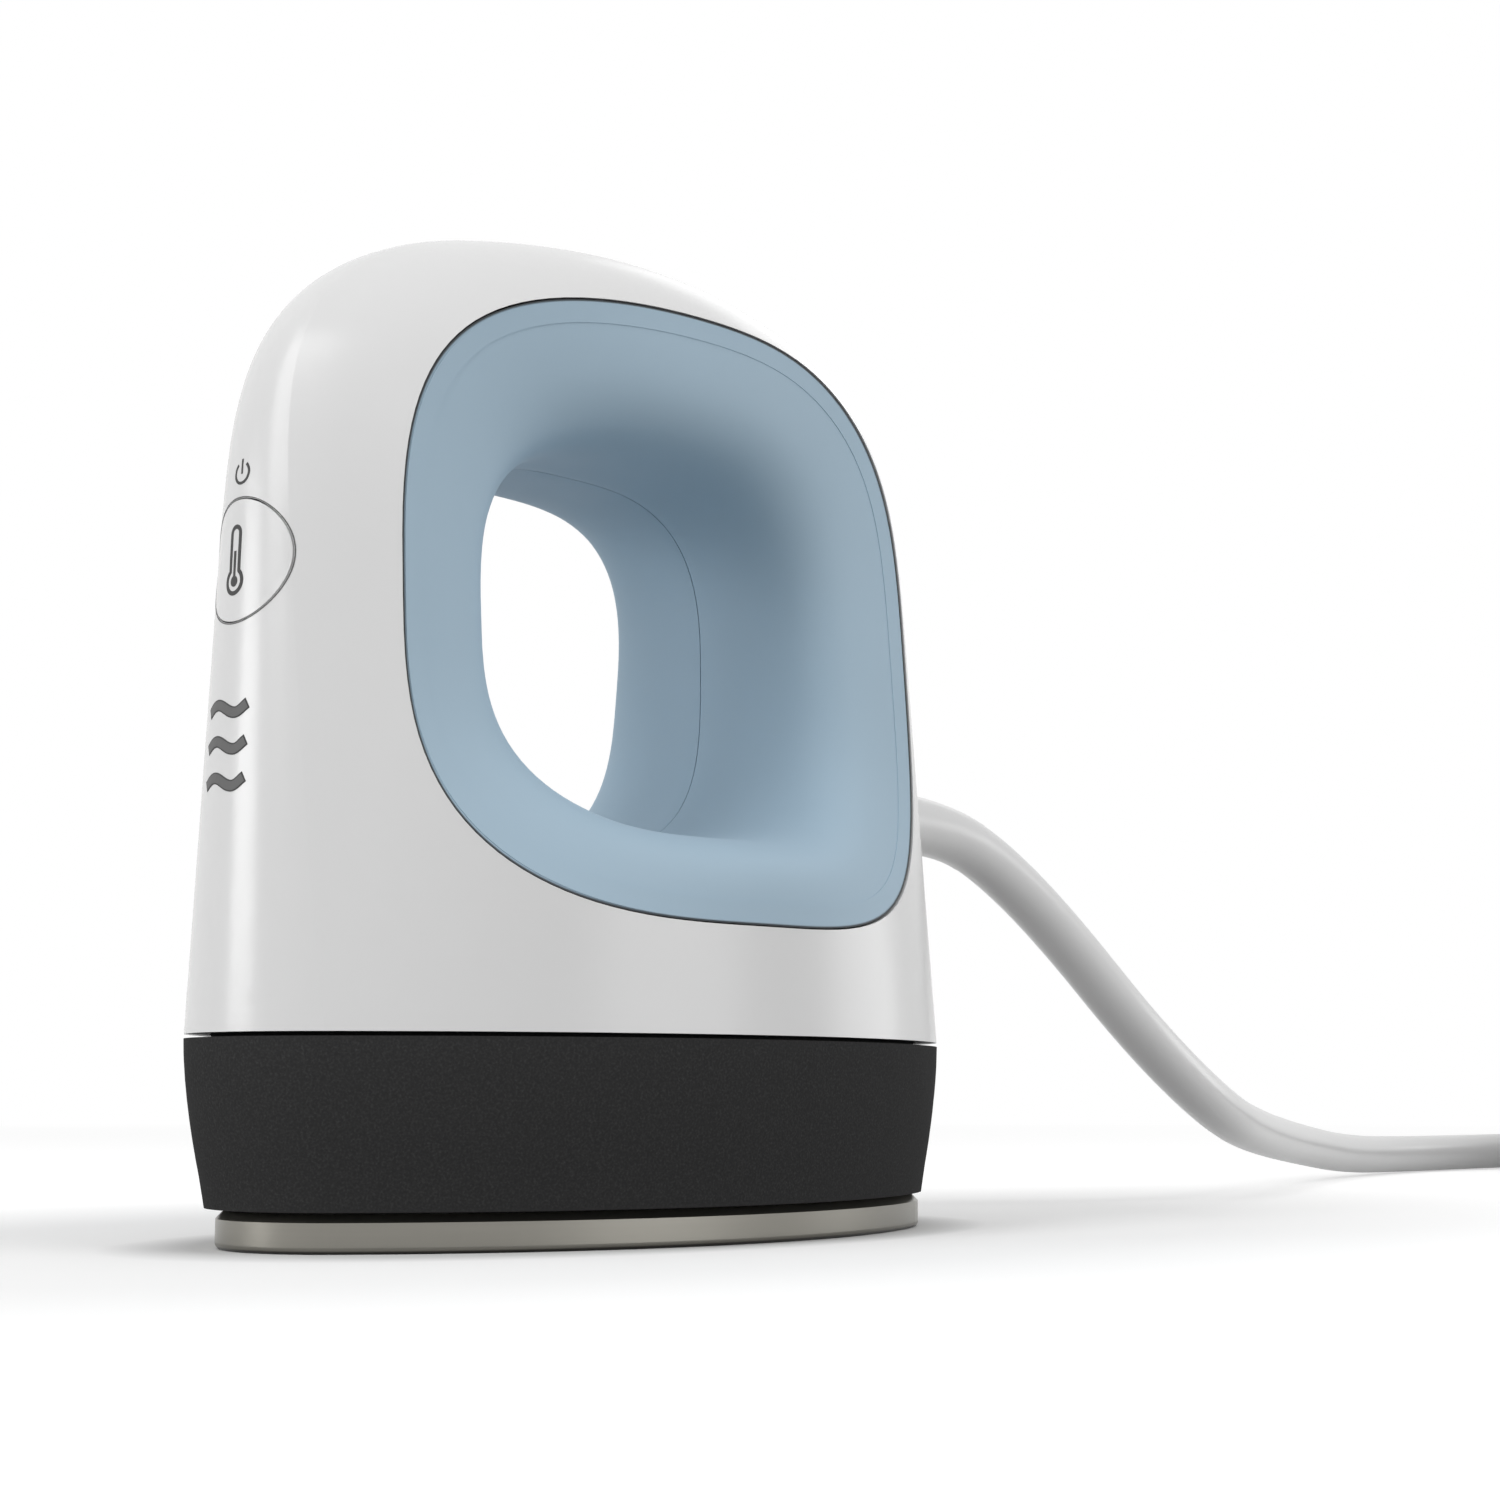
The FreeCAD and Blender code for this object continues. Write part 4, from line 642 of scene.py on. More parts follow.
def printed_mark_recipe() -> Recipe:
    """Thin strokes, repeated downwards and laid on the surface that they hit from one side."""
    recipe = Recipe("printed_mark")
    node = recipe.node
    path, host = recipe.shape_of("strokes"), recipe.shape_of("host")
    count = recipe.given("count", "Int")
    names = ("step", "spacing", "lift", "sink", "facing")
    step, spacing, lift, sink, facing = (recipe.given(name) for name in names)
    even = node("GeometryNodeResampleCurve", {"mode": "LENGTH"}, {"Curve": path, "Length": step})
    square = {"Width": 1.0, "Height": 1.0}
    profile = node("GeometryNodeCurvePrimitiveQuadrilateral", {}, square)
    width = node("GeometryNodeInputRadius")
    band = recipe.swept(even, profile, width)
    pitch = node("ShaderNodeCombineXYZ", {}, {"Y": 0.0 - spacing})
    rows = node("GeometryNodeMeshLine", {}, {"Count": count, "Offset": pitch})
    copies = node("GeometryNodeInstanceOnPoints", {}, {"Points": rows, "Instance": band})
    real = node("GeometryNodeRealizeInstances", {}, [copies])
    spot = node("GeometryNodeInputPosition")
    across, up, depth = (recipe.part(spot, axis) for axis in "XYZ")
    flat = node("ShaderNodeCombineXYZ", {}, {"X": across, "Y": -THROW, "Z": up})
    turn = {"rotation_type": "Z_AXIS"}
    source = node("ShaderNodeVectorRotate", turn, {"Vector": flat, "Angle": facing})
    ahead = node("ShaderNodeVectorRotate", turn, {"Vector": (0.0, 1.0, 0.0), "Angle": facing})
    aim = {
        "Target Geometry": host,
        "Source Position": source,
        "Ray Direction": ahead,
        "Ray Length": THROW,
    }
    place = node("GeometryNodeRaycast", {}, aim, "Hit Position")
    normal = node("GeometryNodeRaycast", {}, aim, "Hit Normal")
    proud = depth.maths("GREATER_THAN", 0.0) * (lift + sink) - sink
    shift = node("ShaderNodeVectorMath", {"operation": "SCALE"}, {"Vector": normal, "Scale": proud})
    laid = node("ShaderNodeVectorMath", {"operation": "ADD"}, [place, shift])
    recipe.finish(node("GeometryNodeSetPosition", {}, {"Geometry": real, "Position": laid}))
    return recipe


def tapered_sleeve_recipe() -> Recipe:
    """Round sleeve along a path that thins towards its tip, with ring grooves near its root."""
    recipe = Recipe("tapered_sleeve")
    node = recipe.node
    path = recipe.shape_of("strokes")
    grooves = recipe.given("grooves", "Int")
    names = ("root", "tip", "groove_depth", "grooved_share")
    root, tip, depth, grooved = (recipe.given(name) for name in names)
    even = node("GeometryNodeResampleCurve", {}, {"Curve": path, "Count": SLEEVE_POINTS})
    along = node("GeometryNodeSplineParameter", output="Factor")
    taper = (1.0 - along) ** TAPER_POWER
    wave = (along * grooves / grooved).maths("FRACT")
    inside = wave.maths("GREATER_THAN", GROOVE_LAND) * along.maths("LESS_THAN", grooved)
    radius = tip + (root - tip) * taper - inside * depth
    ring = node("GeometryNodeCurvePrimitiveCircle", {}, {"Resolution": SLEEVE_SIDES, "Radius": 1.0})
    recipe.finish(recipe.swept(even, ring, radius))
    return recipe


# -------------------- main pieces


@dataclass(frozen=True)
class Laying:
    """How strokes lie on a surface, by the names of their recipe's inputs."""

    step: float
    lift: float
    sink: float
    spacing: float = 0.0
    count: int = 1
    facing: float = 0.0


@dataclass(frozen=True)
class Taper:
    """Tapered sleeve on the lead, by the names of its recipe's inputs."""

    root: float
    tip: float
    grooves: int
    groove_depth: float
    grooved_share: float


@dataclass
class FrontMarks:
    """Grey symbols on the front: power, thermometer and the three heat levels."""

    recipe: Recipe = field(default_factory=printed_mark_recipe)
    laying: Laying = Laying(
        step=0.12 * MM, lift=0.03 * MM, sink=0.06 * MM, spacing=3.3 * MM
    )
    power_z: float = 69.42 * MM
    power_radius: float = 0.97 * MM
    power_stroke: float = 0.27 * MM
    power_opening: float = 36.0
    bar_top: float = 1.3 * MM
    bar_bottom: float = -0.1 * MM
    bar_share: float = 0.85
    button_z: float = 61.3 * MM
    # painted shade ring in the button's gap
    seal_radius: float = 5.82 * MM
    seal_stroke: float = 0.09 * MM
    tube_top: float = 63.8 * MM
    tube_half: float = 0.64 * MM
    bulb_z: float = 59.4 * MM
    bulb_radius: float = 1.11 * MM
    glass_lean: float = -0.3 * MM
    glass_stroke: float = 0.4 * MM
    stem_top: float = 62.2 * MM
    stem_stroke: float = 0.34 * MM
    fill_radius: float = 0.26 * MM
    fill_stroke: float = 0.5 * MM
    fill_lift: float = 0.006 * MM
    levels: int = 3
    wave_z: float = 47.8 * MM
    wave_left: float = -3.8 * MM
    wave_crest: float = -2.05 * MM
    wave_trough: float = 0.8 * MM
    wave_right: float = 2.3 * MM
    wave_height: float = 0.45 * MM
    wave_stroke: float = 1.06 * MM
    wave_tail: float = 2.1 * MM
    wave_border: float = 0.13 * MM
    wave_steps: int = 44
    window_lift: float = 0.015 * MM

    def wave(self, shorten: float) -> list[Point]:
        """One wavy line.

        Args:
            shorten: How much of it is left off at each end.

        Returns:
            Its points from left to right.
        """
        start, end = self.wave_left + shorten, self.wave_right - shorten
        points = []
        for i in range(self.wave_steps + 1):
            x = start + (end - start) * i / self.wave_steps
            half = self.wave_trough - self.wave_crest if x < self.wave_trough else self.wave_tail
            lift = -cos((x - self.wave_trough) * pi / half)
            points.append((x, self.wave_z + self.wave_height * lift, 0.0))
        return points

    def build(self) -> None:
        """Makes every mark."""
        opening = self.power_opening
        ring = arc((0.0, self.power_z), self.power_radius, 90 + opening, 450 - opening, steps=40)
        bar = [(0.0, self.power_z + end, 0.0) for end in (self.bar_top, self.bar_bottom)]
        thin = self.bar_share * self.power_stroke
        power = [(ring, self.power_stroke, False), (bar, thin, False)]

        neck = degrees(asin(self.tube_half / self.bulb_radius))
        lean = self.glass_lean
        outline = arc((lean, self.tube_top), self.tube_half, 0, 180, steps=20)
        outline += arc((lean, self.bulb_z), self.bulb_radius, 90 + neck, 450 - neck, steps=44)
        stem = [(lean, self.stem_top, 0.0), (lean, self.bulb_z, 0.0)]
        glass = [(outline, self.glass_stroke, True), (stem, self.stem_stroke, False)]
        fill = arc((lean, self.bulb_z), self.fill_radius, 0, 342, steps=19)
        bulb = [(fill, self.fill_stroke, True)]

        # painted shade: dark ring that stands in for the shadow in the button's gap
        round_button = arc((0.0, self.button_z), self.seal_radius, 0, 357, steps=119)
        gap_shade = [(round_button, self.seal_stroke, True)]
        border = [(self.wave(0.0), self.wave_stroke, False)]
        inside = self.wave_stroke - 2 * self.wave_border
        window = [(self.wave(self.wave_border), inside, False)]

        shell, button, levels = "outer_shell", "power_button", self.levels
        for name, strokes, host, look, body, rise, count in (
            ("power_mark", power, shell, Look.INK, PRESS, 0.0, 1),
            ("thermometer_mark", glass, button, Look.INK, BUTTON, 0.0, 1),
            ("thermometer_bulb", bulb, button, Look.INK, BUTTON, self.fill_lift, 1),
            # the button's gap ring is painted shade
            ("button_seal", gap_shade, shell, Look.GAP_SHADE, PRESS, 0.0, 1),
            ("level_borders", border, shell, Look.INK, PRESS, 0.0, levels),
            ("level_windows", window, shell, Look.WINDOW, PRESS, self.window_lift, levels),
        ):
            laying = replace(self.laying, lift=self.laying.lift + rise, count=count)
            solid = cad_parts[host]
            mark = self.recipe.piece(name, strokes, look, body, host=solid, **vars(laying))


@dataclass
class RimLand:
    """Flat land round each rim of the hand hole, a little proud of the liner."""

    recipe: Recipe
    share: float = 0.957
    width: float = 2.0 * MM
    laying: Laying = Laying(step=0.6 * MM, lift=0.07 * MM, sink=0.25 * MM)
    corners: int = 180

    def outline(self) -> list[tuple[float, float]]:
        """Middle line of the land, as places along and up."""
        rim = Look.LINER.value
        power = rim.squareness
        points = []
        for i in range(self.corners):
            turn = tau * i / self.corners
            c, s = cos(turn), sin(turn)
            along, up = abs(c) / rim.half_length, abs(s) / rim.half_height
            reach = self.share * (along**power + up**power) ** (-1 / power)
            points.append((rim.centre_y + reach * c, rim.centre_z + reach * s))
        return points

    def build(self) -> None:
        """Makes the land of both sides."""
        for side, sign in (("right", 1.0), ("left", -1.0)):
            line = [(sign * along, up, 0.0) for along, up in self.outline()]
            strokes = [(line, self.width, True)]
            sizes = vars(replace(self.laying, facing=sign * pi / 2))
            name, solid = f"rim_land_{side}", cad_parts[f"grip_insert_{side}"]
            land = self.recipe.piece(name, strokes, Look.LINER, PRESS, host=solid, **sizes)


@dataclass
class StrainRelief:
    """Relief moulded on the lead: collar inside the wall, neck in the hole and sleeve outside."""

    wall: float = 40.85 * MM
    reach: float = 22.5 * MM
    sleeve: Taper = Taper(
        root=4.1 * MM, tip=3.2 * MM, grooves=3, groove_depth=0.03 * MM, grooved_share=0.3
    )
    collar_start: float = 34.0 * MM
    collar_radius: float = 4.35 * MM
    flange_start: float = 36.4 * MM
    flange_end: float = 38.3 * MM
    flange_radius: float = 6.2 * MM
    neck_radius: float = 4.4 * MM
    step: float = 0.5 * MM
    overlap: float = 0.2 * MM
    lead_in: int = 12
    sides: int = 56

    def build(self, recipe: Recipe, line: Sequence[Vector]) -> None:
        """Makes the sleeve along the lead's own line, and the collar behind it.

        Args:
            recipe: The recipe of a tapered sleeve.
            line: The lead's centre line, from its exit on.
        """
        level = line[0].z
        start = self.wall + self.step
        covered = line[0].y - start
        count = self.lead_in
        path = [Vector((0.0, start + covered * i / count, level)) for i in range(count)]
        for before, after in zip(line, line[1:]):
            path.append(before)
            covered += (after - before).length
            if covered > self.reach:
                break
        stroke = ([tuple(point) for point in path], 1.0, False)
        sleeve = recipe.piece("relief_sleeve", [stroke], Look.CORD, PRESS, **vars(self.sleeve))
        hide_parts("strain_relief")
        steps = [
            (self.collar_start, self.collar_radius),
            (self.flange_start, self.collar_radius),
            (self.flange_start, self.flange_radius),
            (self.flange_end, self.flange_radius),
            (self.flange_end, self.neck_radius),
            (start + self.overlap, self.neck_radius),
        ]
        turns = [tau * k / self.sides for k in range(self.sides)]
        rings = [
            [Vector((r * cos(t), y, level + r * sin(t))) for t in turns]
            for y, r in steps
        ]
        collar = new_piece("relief_collar", loft(rings), Look.CORD, PRESS)
        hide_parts("strain_relief")


@dataclass
class Plug:
    """Moulded mains plug: a grip with finger ribs and a grooved relief on the lead."""

    length: float = 30.0 * MM
    width: float = 25.0 * MM
    height: float = 19.7 * MM
    relief_length: float = 20.0 * MM
    relief: Taper = Taper(
        root=4.7 * MM, tip=3.4 * MM, grooves=5, groove_depth=0.45 * MM, grooved_share=0.75
    )
    root_depth: float = 1.0 * MM
    root_run: float = 8.0 * MM
    rib_height: float = 0.35 * MM
    rib_span: tuple[float, float] = (11.0, 23.5)
    rib_pitch: float = 2.5
    rib_face: float = 0.7
    slice_step: float = 0.4
    slices: range = range(4, 75)
    sides: int = 72
    stations: tuple[tuple[float, float, float, float], ...] = (
        # mm from the face, narrowing of the width and of the height in mm, and squareness
        (0.0, 3.0, 3.0, 4.0),
        (0.5, 1.6, 1.6, 4.0),
        (1.4, 1.0, 1.0, 4.0),
        (9.0, 0.0, 0.0, 3.6),
        (15.0, 1.6, 1.3, 3.2),
        (21.0, 4.4, 3.6, 2.8),
        (26.0, 8.4, 5.6, 2.5),
        (29.0, 12.0, 8.4, 2.2),
        (30.0, 14.6, 9.6, 2.0),
    )

    def section(self, along: float) -> tuple[float, float, float]:
        """Measures of the grip's section.

        Args:
            along: Distance from the face in millimetres.

        Returns:
            Half width, half height and squareness.
        """
        pairs = zip(self.stations, self.stations[1:])
        before, after = next(pair for pair in pairs if along <= pair[1][0])
        share = (along - before[0]) / (after[0] - before[0])
        _, narrow, low, square = (a + (b - a) * share for a, b in zip(before, after))
        return (self.width - narrow * MM) / 2, (self.height - low * MM) / 2, square

    def rib(self, along: float) -> float:
        """How far a finger rib stands out at a distance in millimetres from the face, 0 to 1."""
        first, last = self.rib_span
        if not first < along < last:
            return 0.0
        return 0.5 - 0.5 * cos(tau * (along - first) / self.rib_pitch)

    def grip(self, end: Vector) -> Mesh:
        """Mesh of the grip, whose face looks along -Y.

        Args:
            end: Point on the axis where the grip meets the relief.

        Returns:
            The closed mesh.
        """
        cuts = {self.slice_step * i for i in self.slices}
        places = sorted({row[0] for row in self.stations} | cuts)
        rings = []
        for along in places:
            half_width, half_height, square = self.section(along)
            hollow = self.rib_height * self.rib(along) - self.rib_height
            y = end.y - self.length + along * MM
            ring = []
            for k in range(self.sides):
                turn = tau * k / self.sides
                c, s = cos(turn), sin(turn)
                reach = (abs(c) ** square + abs(s) ** square) ** (-1 / square)
                x = (half_width + hollow * (abs(c) > self.rib_face)) * reach * c
                ring.append(Vector((end.x + x, y, end.z + half_height * reach * s)))
            rings.append(ring)
        return loft(rings)

    def build(self, recipe: Recipe, lead_end: Vector) -> list[Object]:
        """Makes the plug at the lead's end.

        Args:
            recipe: The recipe of a tapered sleeve.
            lead_end: Where the bare lead enters the plug's relief.

        Returns:
            The pieces made.
        """
        end = lead_end - Vector((0.0, self.relief_length, 0.0))
        grip = new_piece("plug_grip", self.grip(end), Look.CORD, PRESS)
        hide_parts("plug_body")
        inside, ahead = Vector((0.0, self.root_depth, 0.0)), Vector((0.0, self.root_run, 0.0))
        stroke = ([tuple(point) for point in (end - inside, end + ahead, lead_end)], 1.0, False)
        relief = recipe.piece("plug_relief", [stroke], Look.CORD, PRESS, **vars(self.relief))
        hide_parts("plug_body")
        return [grip, relief]


@dataclass
class CoilTie:
    """Hook-and-loop strap round the coil's bundle of turns."""

    width: float = 6.0 * MM
    thickness: float = 0.6 * MM
    corner: float = 3.4 * MM
    turn: float = 60.0
    overlap: float = 11.0 * MM
    gap: float = 0.1 * MM
    tab_rise: float = 1.05
    edge: float = 0.18 * MM
    corner_steps: int = 8
    tab_steps: int = 7

    def build(
        self, centre: Vector, inner: float, outer: float, low: float, high: float
    ) -> Object:
        """Makes the strap.

        Args:
            centre: The coil's centre on the floor.
            inner: Inner radius of the bundle.
            outer: Outer radius of the bundle.
            low: Lowest point of the bundle.
            high: Highest point of the bundle.

        Returns:
            The strap.
        """
        low_r, high_r = inner - self.gap + self.corner, outer + self.gap - self.corner
        low_z, high_z = low - self.gap + self.corner, high + self.gap - self.corner
        corners = ((high_r, low_z), (high_r, high_z), (low_r, high_z), (low_r, low_z))
        loop = []
        for k, (r, z) in enumerate(corners):
            for i in range(self.corner_steps + 1):
                turn = radians(90 * (k - 1) + 90 * i / self.corner_steps)
                c, s = cos(turn), sin(turn)
                loop.append((r + self.corner * c, z + self.corner * s, c, s))
        tab = []
        for i in range(self.tab_steps + 1):
            r = high_r - self.overlap * (i / self.tab_steps)
            tab.append((r, high + self.gap + self.thickness * self.tab_rise, 0.0, 1.0))
        runs = [[self.section(centre, station) for station in line] for line in (loop, tab)]
        strap = new_piece("tie_strap", loft(*runs, closed=True), Look.TIE, PRESS)
        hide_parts("cord_tie")
        return strap

    def section(self, centre: Vector, station: Sequence[float]) -> list[Vector]:
        """Section of the strap, with bevelled outer edges.

        Args:
            centre: The coil's centre on the floor.
            station: Distance from the coil's axis, height, and outward direction along both.

        Returns:
            Corners of the section.
        """
        r, z, out_r, out_z = station
        half, top, shoulder = self.width / 2, self.thickness, self.thickness - self.edge
        corners = [(-half, 0.0), (half, 0.0), (half, shoulder), (half - self.edge, top)]
        corners += [(self.edge - half, top), (-half, shoulder)]
        spin = Matrix.Rotation(radians(self.turn), 3, "Z")
        spots = [Vector((r + out_r * lift, side, z + out_z * lift)) for side, lift in corners]
        return [centre + spin @ spot for spot in spots]


@dataclass
class SkirtEdge:
    """Skirt with its bottom edge drawn down close over the plate."""

    bottom: float = 4.2 * MM
    reach: float = 2.0 * MM
    drop: float = 0.58 * MM
    smooth_below: float = 30.0

    def build(self) -> None:
        """Copies the skirt's solid, closes its mesh and draws its bottom edge down."""
        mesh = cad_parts["base_skirt"].data.copy()
        for vertex in mesh.vertices:
            share = 1 - (vertex.co.z - self.bottom) / self.reach
            if share > 0:
                vertex.co.z -= self.drop * share
        tidy_mesh(mesh, smooth_below=self.smooth_below)
        skirt = new_piece("skirt_body", mesh, Look.SKIRT, PRESS)
        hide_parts("base_skirt")


@dataclass
class MainsLead:
    """Mains lead: the free stretch behind the press, the coil and the plug's short end."""

    diameter: float = 6.3 * MM
    route: tuple[Point, ...] = (
        (0.0, 0.049, 0.0451),
        (0.0, 0.057, 0.0451),
        (-0.0008, 0.0678, 0.0424),
        (-0.0002, 0.0806, 0.0348),
        (0.0036, 0.0946, 0.0208),
        (0.0022, 0.1135, 0.0116),
        (-0.0072, 0.138, 0.0085),
        (-0.0206, 0.172, 0.0062),
        (-0.0316, 0.207, 0.0037),
        (-0.0368, 0.238, 0.0032),
        (-0.0346, 0.27, 0.0033),
        (-0.0248, 0.3002, 0.00385),
    )
    coil_base: float = 0.7 * MM
    mean_radius: float = 37.0 * MM
    turns: float = 6.45
    points_per_turn: int = 16
    climb_share: float = 0.35
    plug_end: float = 28.0 * MM
    plug_bend: float = 0.4
    crossing_margin: float = 1.1
    crossing_spread: float = 6.0
    line: list[Vector] = field(default_factory=list)
    tie: CoilTie = field(default_factory=CoilTie)
    plug: Plug = field(default_factory=Plug)

    @property
    def outer_turn(self) -> float:
        """Radius of the outermost turn's centre line."""
        return self.mean_radius + self.turns / 2 * self.diameter / 2

    @property
    def centre(self) -> Vector:
        """Centre of the coil on the floor: the outermost turn takes up the route's last run."""
        last, before = Vector(self.route[-1]), Vector(self.route[-2])
        ahead = (last - before).to_2d().normalized()
        return Vector((last.x + self.outer_turn * ahead.y, last.y - self.outer_turn * ahead.x, 0.0))

    def coil(self) -> list[Point]:
        """Control points of the coil: in along the floor, up at the inner edge, and out on top."""
        centre = self.centre
        start = Vector(self.route[-1]) - centre
        first = atan2(start.y, start.x)
        turned = first + tau * round(self.turns - first / tau)
        count = int(self.points_per_turn * turned / tau)
        low = self.coil_base + self.diameter / 2
        swell = 1 / cos(pi / self.points_per_turn)
        half = turned / 2
        climb = self.climb_share * pi
        points = []
        for i in range(1, count + 1):
            along = turned * i / count
            inwards = min(along, turned - along) / tau
            radius = (self.outer_turn - inwards * self.diameter) * swell
            rise = min(max((along - half + climb) / (2 * climb), 0.0), 1.0)
            lift = low + self.diameter * rise * rise * (3 - 2 * rise)
            x, y = radius * cos(first - along), radius * sin(first - along)
            points.append((centre.x + x, centre.y + y, lift))
        return points

    def build(self, sleeve: Recipe) -> None:
        """Makes the lead as one smooth curve in place of its plain solids, its plug and its tie.

        Args:
            sleeve: The recipe of a tapered sleeve.
        """
        centre = self.centre
        layers = 2
        top = self.coil_base + self.diameter * (layers - 0.5)
        tail_x = centre.x + self.outer_turn
        ends = [centre.y - self.plug_bend * self.plug_end, centre.y - self.plug_end]
        end = [(tail_x, y, top) for y in ends]
        points = [*self.route[:-1], *self.coil(), *end]
        lead = drawn("mains_lead", [(points, 1.0, False)], "NURBS")
        curve = lead.data
        curve.resolution_u = 8
        curve.splines[0].order_u = 3
        curve.splines[0].use_endpoint_u = True
        self.line = self._centre_line(lead)
        curve.bevel_depth = self.diameter / 2
        curve.bevel_resolution = 8
        curve.use_fill_caps = True
        curve.materials.append(Look.CORD.material())
        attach(lead, PRESS)
        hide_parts("power_cord", "cord_coil", "plug_lead")
        reach = self.diameter / 2
        pieces = self.plug.build(sleeve, Vector(end[-1]))
        nearest, farthest = self._crossing(centre)
        low, high = self.coil_base, self.coil_base + layers * self.diameter
        pieces.append(self.tie.build(centre, nearest - reach, farthest + reach, low, high))

    def _crossing(self, centre: Vector) -> tuple[float, float]:
        """Where the tie crosses the coil.

        Args:
            centre: The coil's centre on the floor.

        Returns:
            Radii of the innermost and of the outermost turn there.
        """
        turn, spread = radians(self.tie.turn), radians(self.crossing_spread)
        way = Vector((cos(turn), sin(turn)))
        outs = [(spot - centre).xy for spot in self.line]
        near = [out for out in outs if out.length < self.outer_turn * self.crossing_margin]
        radii = [out.length for out in near if out.normalized().dot(way) > cos(spread)]
        return min(radii), max(radii)

    @staticmethod
    def _centre_line(lead: Object) -> list[Vector]:
        """Points along the lead's own smooth line."""
        mesh = settled(lead)
        line = [vertex.co.copy() for vertex in mesh.vertices]
        bpy.data.meshes.remove(mesh)
        return line


@dataclass
class Dressing:
    """Finishes of the pieces that keep their own solids."""

    looks: tuple[tuple[Look, str], ...] = (
        (Look.SHELL, "outer_shell power_button"),
        (Look.LINER, "grip_insert_right grip_insert_left"),
        (Look.SKIRT, "base_skirt"),
        (Look.PLATE, "heat_plate"),
        (Look.SILICONE, "plate_gasket"),
        (Look.SHEATH, "heating_element"),
        (Look.ALUMINIUM, "element_clamp heat_shield"),
        (Look.FELT, "insulation_pad"),
        (Look.STEEL, "standoff_bushes plate_screws chassis_screws board_screws"),
        (Look.STEEL, "clamp_screws thermal_fuse switch_dome"),
        (Look.RESIN, "temperature_sensor supply_capacitor"),
        (Look.CHASSIS, "inner_frame button_retainer cord_clamp switch_plunger"),
        (Look.LAMINATE, "control_board"),
        (Look.CHIP, "drive_triac controller_chip switch_body"),
        (Look.TERMINAL, "terminal_block"),
        (Look.LENS, "indicator_leds"),
        (Look.GUIDE, "light_guide"),
        (Look.CORD, "cord_tail strain_relief plug_body"),
        (Look.SLEEVE, "mains_leads heater_leads"),
        (Look.EARTH, "earth_lead"),
        (Look.TIE, "cord_tie"),
        (Look.BRASS, "plug_blades earth_pin"),
    )

    def build(self) -> None:
        """Paints every listed solid."""
        for look, names in self.looks:
            for name in names.split():
                paint(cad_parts[name], look)
                log.info("%s: %s", name, look.name)


@dataclass(frozen=True)
class Lamp:
    """One soft rectangular lamp that points at a target."""

    name: str
    place: Point
    width: float
    height: float
    power: float
    target: Point = (0.0, 0.0, 0.05)

    def build(self) -> None:
        """Adds the lamp."""
        data = bpy.data.lights.new(self.name, "AREA")
        data.shape = "RECTANGLE"
        data.size = self.width
        data.size_y = self.height
        data.energy = self.power
        lamp = linked(self.name, data)
        lamp.location = self.place
        lamp.rotation_mode = "QUATERNION"
        ahead = Vector(self.target) - Vector(self.place)
        lamp.rotation_quaternion = ahead.to_track_quat("-Z", "Y")


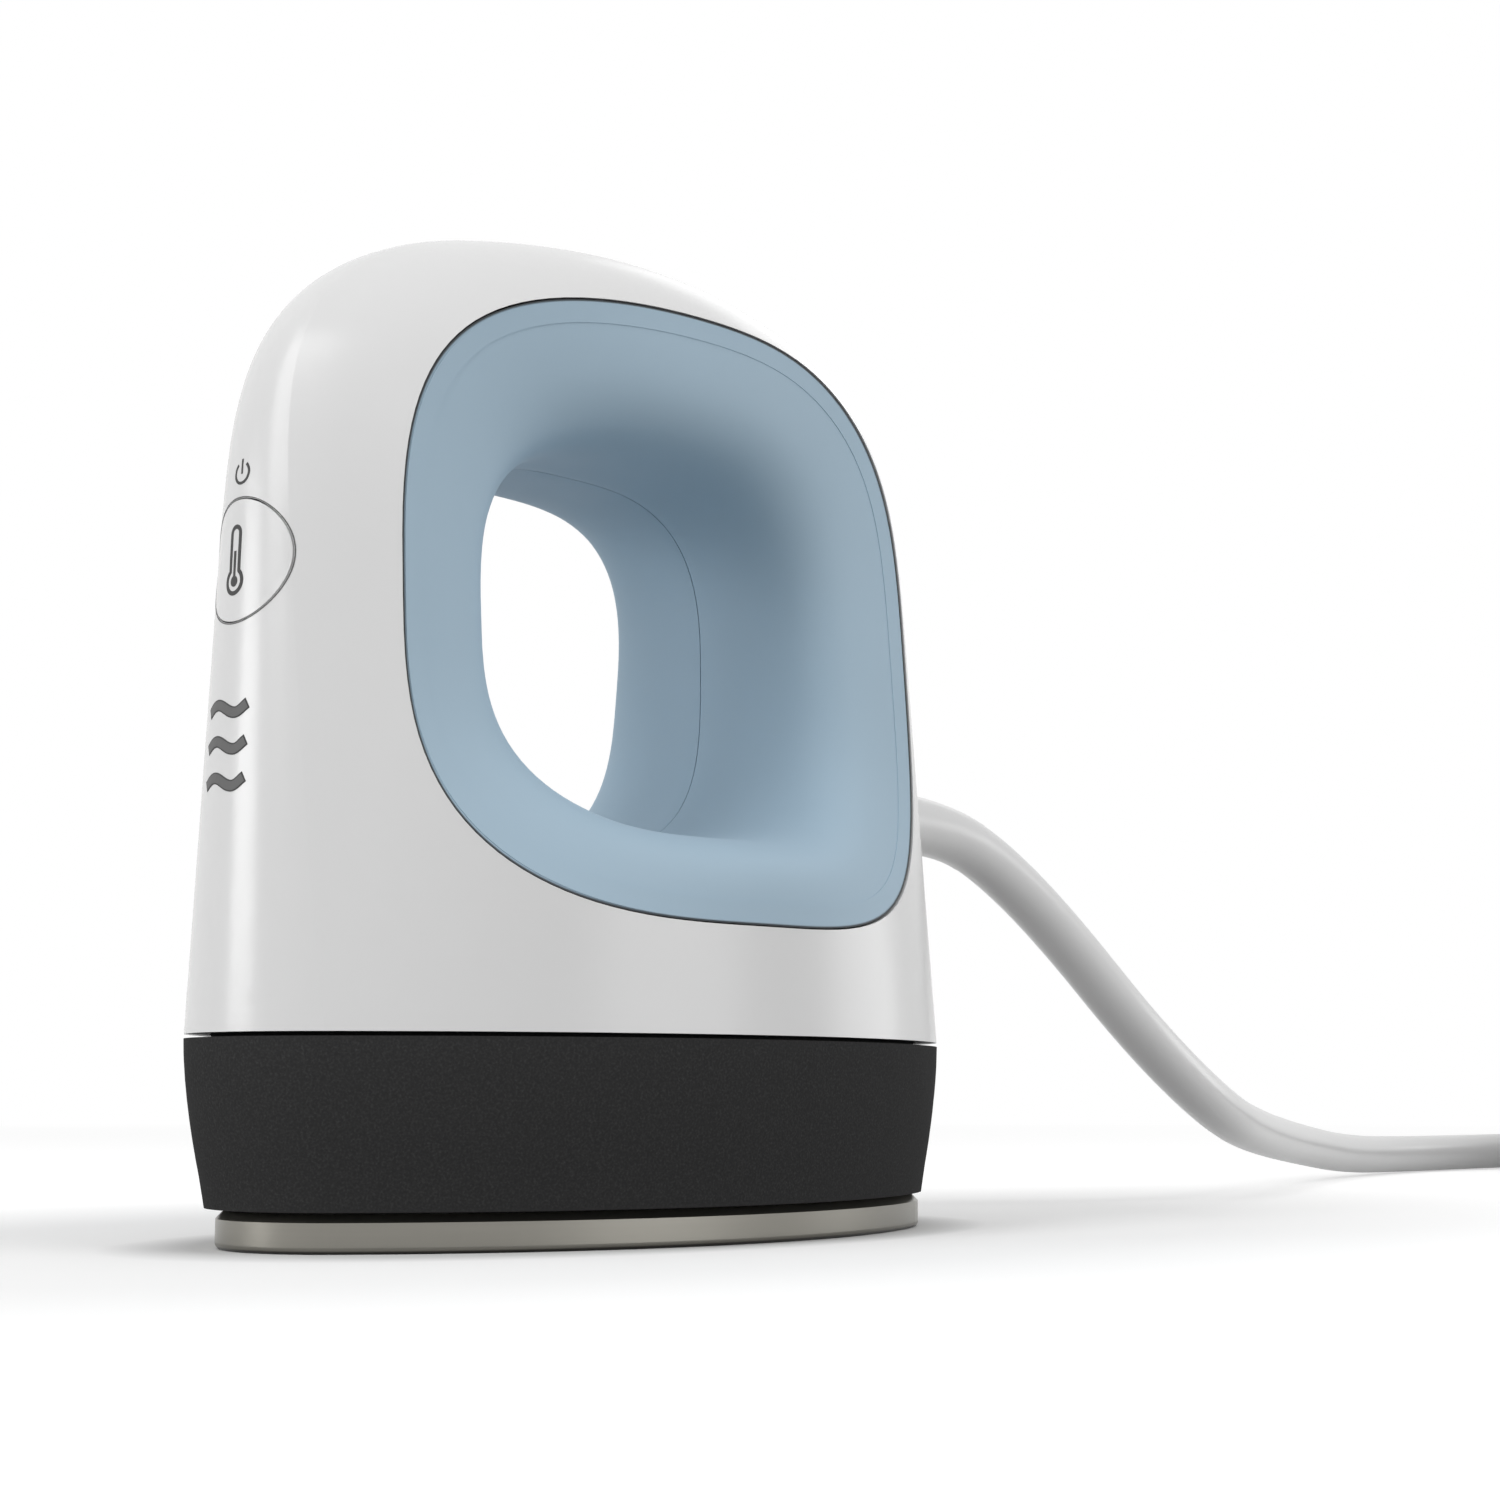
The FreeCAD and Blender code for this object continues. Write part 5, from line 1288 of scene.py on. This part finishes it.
@dataclass
class Studio:
    """Camera, lamps, floor and white surroundings."""

    camera_place: Point = (0.18135, -0.17179, 0.0136)
    azimuth: float = 42.75
    pitch: float = 7.98
    lens: float = 59.156
    sensor: float = 36.0
    clip: tuple[float, float] = (0.005, 50.0)
    sky_level: float = 0.41
    floor_reach: float = 6.0
    floor_grey: float = 0.73
    bounce_grey: float = 0.42
    white_from: float = 0.3
    white_over: float = 0.7
    ring_scale: Point = (18.0, 10.5, 0.0)
    under_from: float = 0.45
    under_over: float = 0.1
    glow_from: float = 0.9
    glow_over: float = 0.9
    floor_glow: float = 0.27
    far_glow: float = 0.5
    lamps: tuple[Lamp, ...] = (
        Lamp("front_low", (-0.44, -0.83, 0.2), 0.36, 0.26, 2.0),
        Lamp("front_tall", (0.03, -0.76, 0.62), 0.34, 0.75, 3.5),
        Lamp("high_right", (0.55, 0.15, 0.8), 0.5, 0.5, 1.2),
        Lamp("side_fill", (0.95, 0.25, 0.3), 0.6, 0.6, 2.3),
        Lamp("camera_box", (0.75, -0.55, 0.5), 0.6, 0.6, 0.6),
        Lamp("rear_low", (0.33, 0.9, 0.14), 0.45, 0.26, 0.75),
        Lamp("rear_panel", (-0.42, 0.8, 0.6), 0.4, 0.4, 0.35),
    )

    def camera(self) -> None:
        """Puts the camera near the floor, looking slightly up at the front right side."""
        data = bpy.data.cameras.new("camera")
        data.sensor_width = self.sensor
        data.lens = self.lens
        data.clip_start, data.clip_end = self.clip
        camera = linked("camera", data)
        camera.location = self.camera_place
        camera.rotation_euler = (radians(90 + self.pitch), 0.0, radians(self.azimuth))
        bpy.context.scene.camera = camera

    def sky(self) -> None:
        """White surroundings for the eye and for mirrored rays, and a plain level of light."""
        world = bpy.data.worlds.new("surroundings")
        world.use_nodes = True
        sky = Tree(world.node_tree)
        sky.tree.nodes.clear()
        inputs = {"Color": WHITE, "Strength": sky.eye().spread(self.sky_level, 1.0)}
        light = sky.node("ShaderNodeBackground", {}, inputs)
        out = sky.tree.nodes.new("ShaderNodeOutputWorld")
        sky.tree.links.new(light.socket, out.inputs["Surface"])
        bpy.context.scene.world = world

    def floor(self) -> None:
        """Large pale floor that keeps the press's shadow and turns white with distance.

        It glows in ovals round the press: not at all under it and at its foot, which is painted
        shade, then weakly, then more.
        """
        reach = self.floor_reach
        mesh = bpy.data.meshes.new("floor")
        corners = [(-reach, -reach, 0), (reach, -reach, 0), (reach, reach, 0), (-reach, reach, 0)]
        mesh.from_pydata(corners, [], [(0, 1, 2, 3)])
        floor = linked("floor", mesh)
        board = Board("pale_floor")
        node = board.node
        spot = board.place()
        oval = node("ShaderNodeVectorMath", {"operation": "MULTIPLY"}, [spot, self.ring_scale])
        away, out = (
            node("ShaderNodeVectorMath", {"operation": "LENGTH"}, [place], "Value")
            for place in (spot, oval)
        )
        fade = ((away - self.white_from) / self.white_over).clamped()
        level = ((out - self.glow_from) / self.glow_over).clamped()
        level = level.spread(self.floor_glow, self.far_glow)
        # painted shade: the glow dies away close round the press's foot
        level = level * ((out - self.under_from) / self.under_over).clamped()
        matt, bounce = (
            node("ShaderNodeBsdfDiffuse", {}, {"Color": (grey, grey, grey, 1.0)})
            for grey in (self.floor_grey, self.bounce_grey)
        )
        glow, far = (
            node("ShaderNodeEmission", {}, {"Color": WHITE, "Strength": strength})
            for strength in (level, 1.0)
        )
        near = node("ShaderNodeAddShader", {}, [matt, glow])
        seen = node("ShaderNodeMixShader", {}, [fade, near, far])
        whole = node("ShaderNodeMixShader", {}, [board.eye(), bounce, seen])
        mesh.materials.append(board.finish(whole))

    def build(self) -> None:
        """Sets up the whole studio."""
        self.camera()
        self.sky()
        for lamp in self.lamps:
            lamp.build()
        self.floor()
        bpy.context.scene.view_settings.view_transform = "Standard"


def main() -> None:
    """Builds the studio, the lead, the marks and every finish."""
    logging.basicConfig(level=logging.INFO, format="%(name)s: %(message)s")
    Studio().build()
    sleeve = tapered_sleeve_recipe()
    lead = MainsLead()
    lead.build(sleeve)
    StrainRelief().build(sleeve, lead.line)
    marks = FrontMarks()
    marks.build()
    RimLand(marks.recipe).build()
    SkirtEdge().build()
    Dressing().build()


if __name__ == "__main__":
    main()
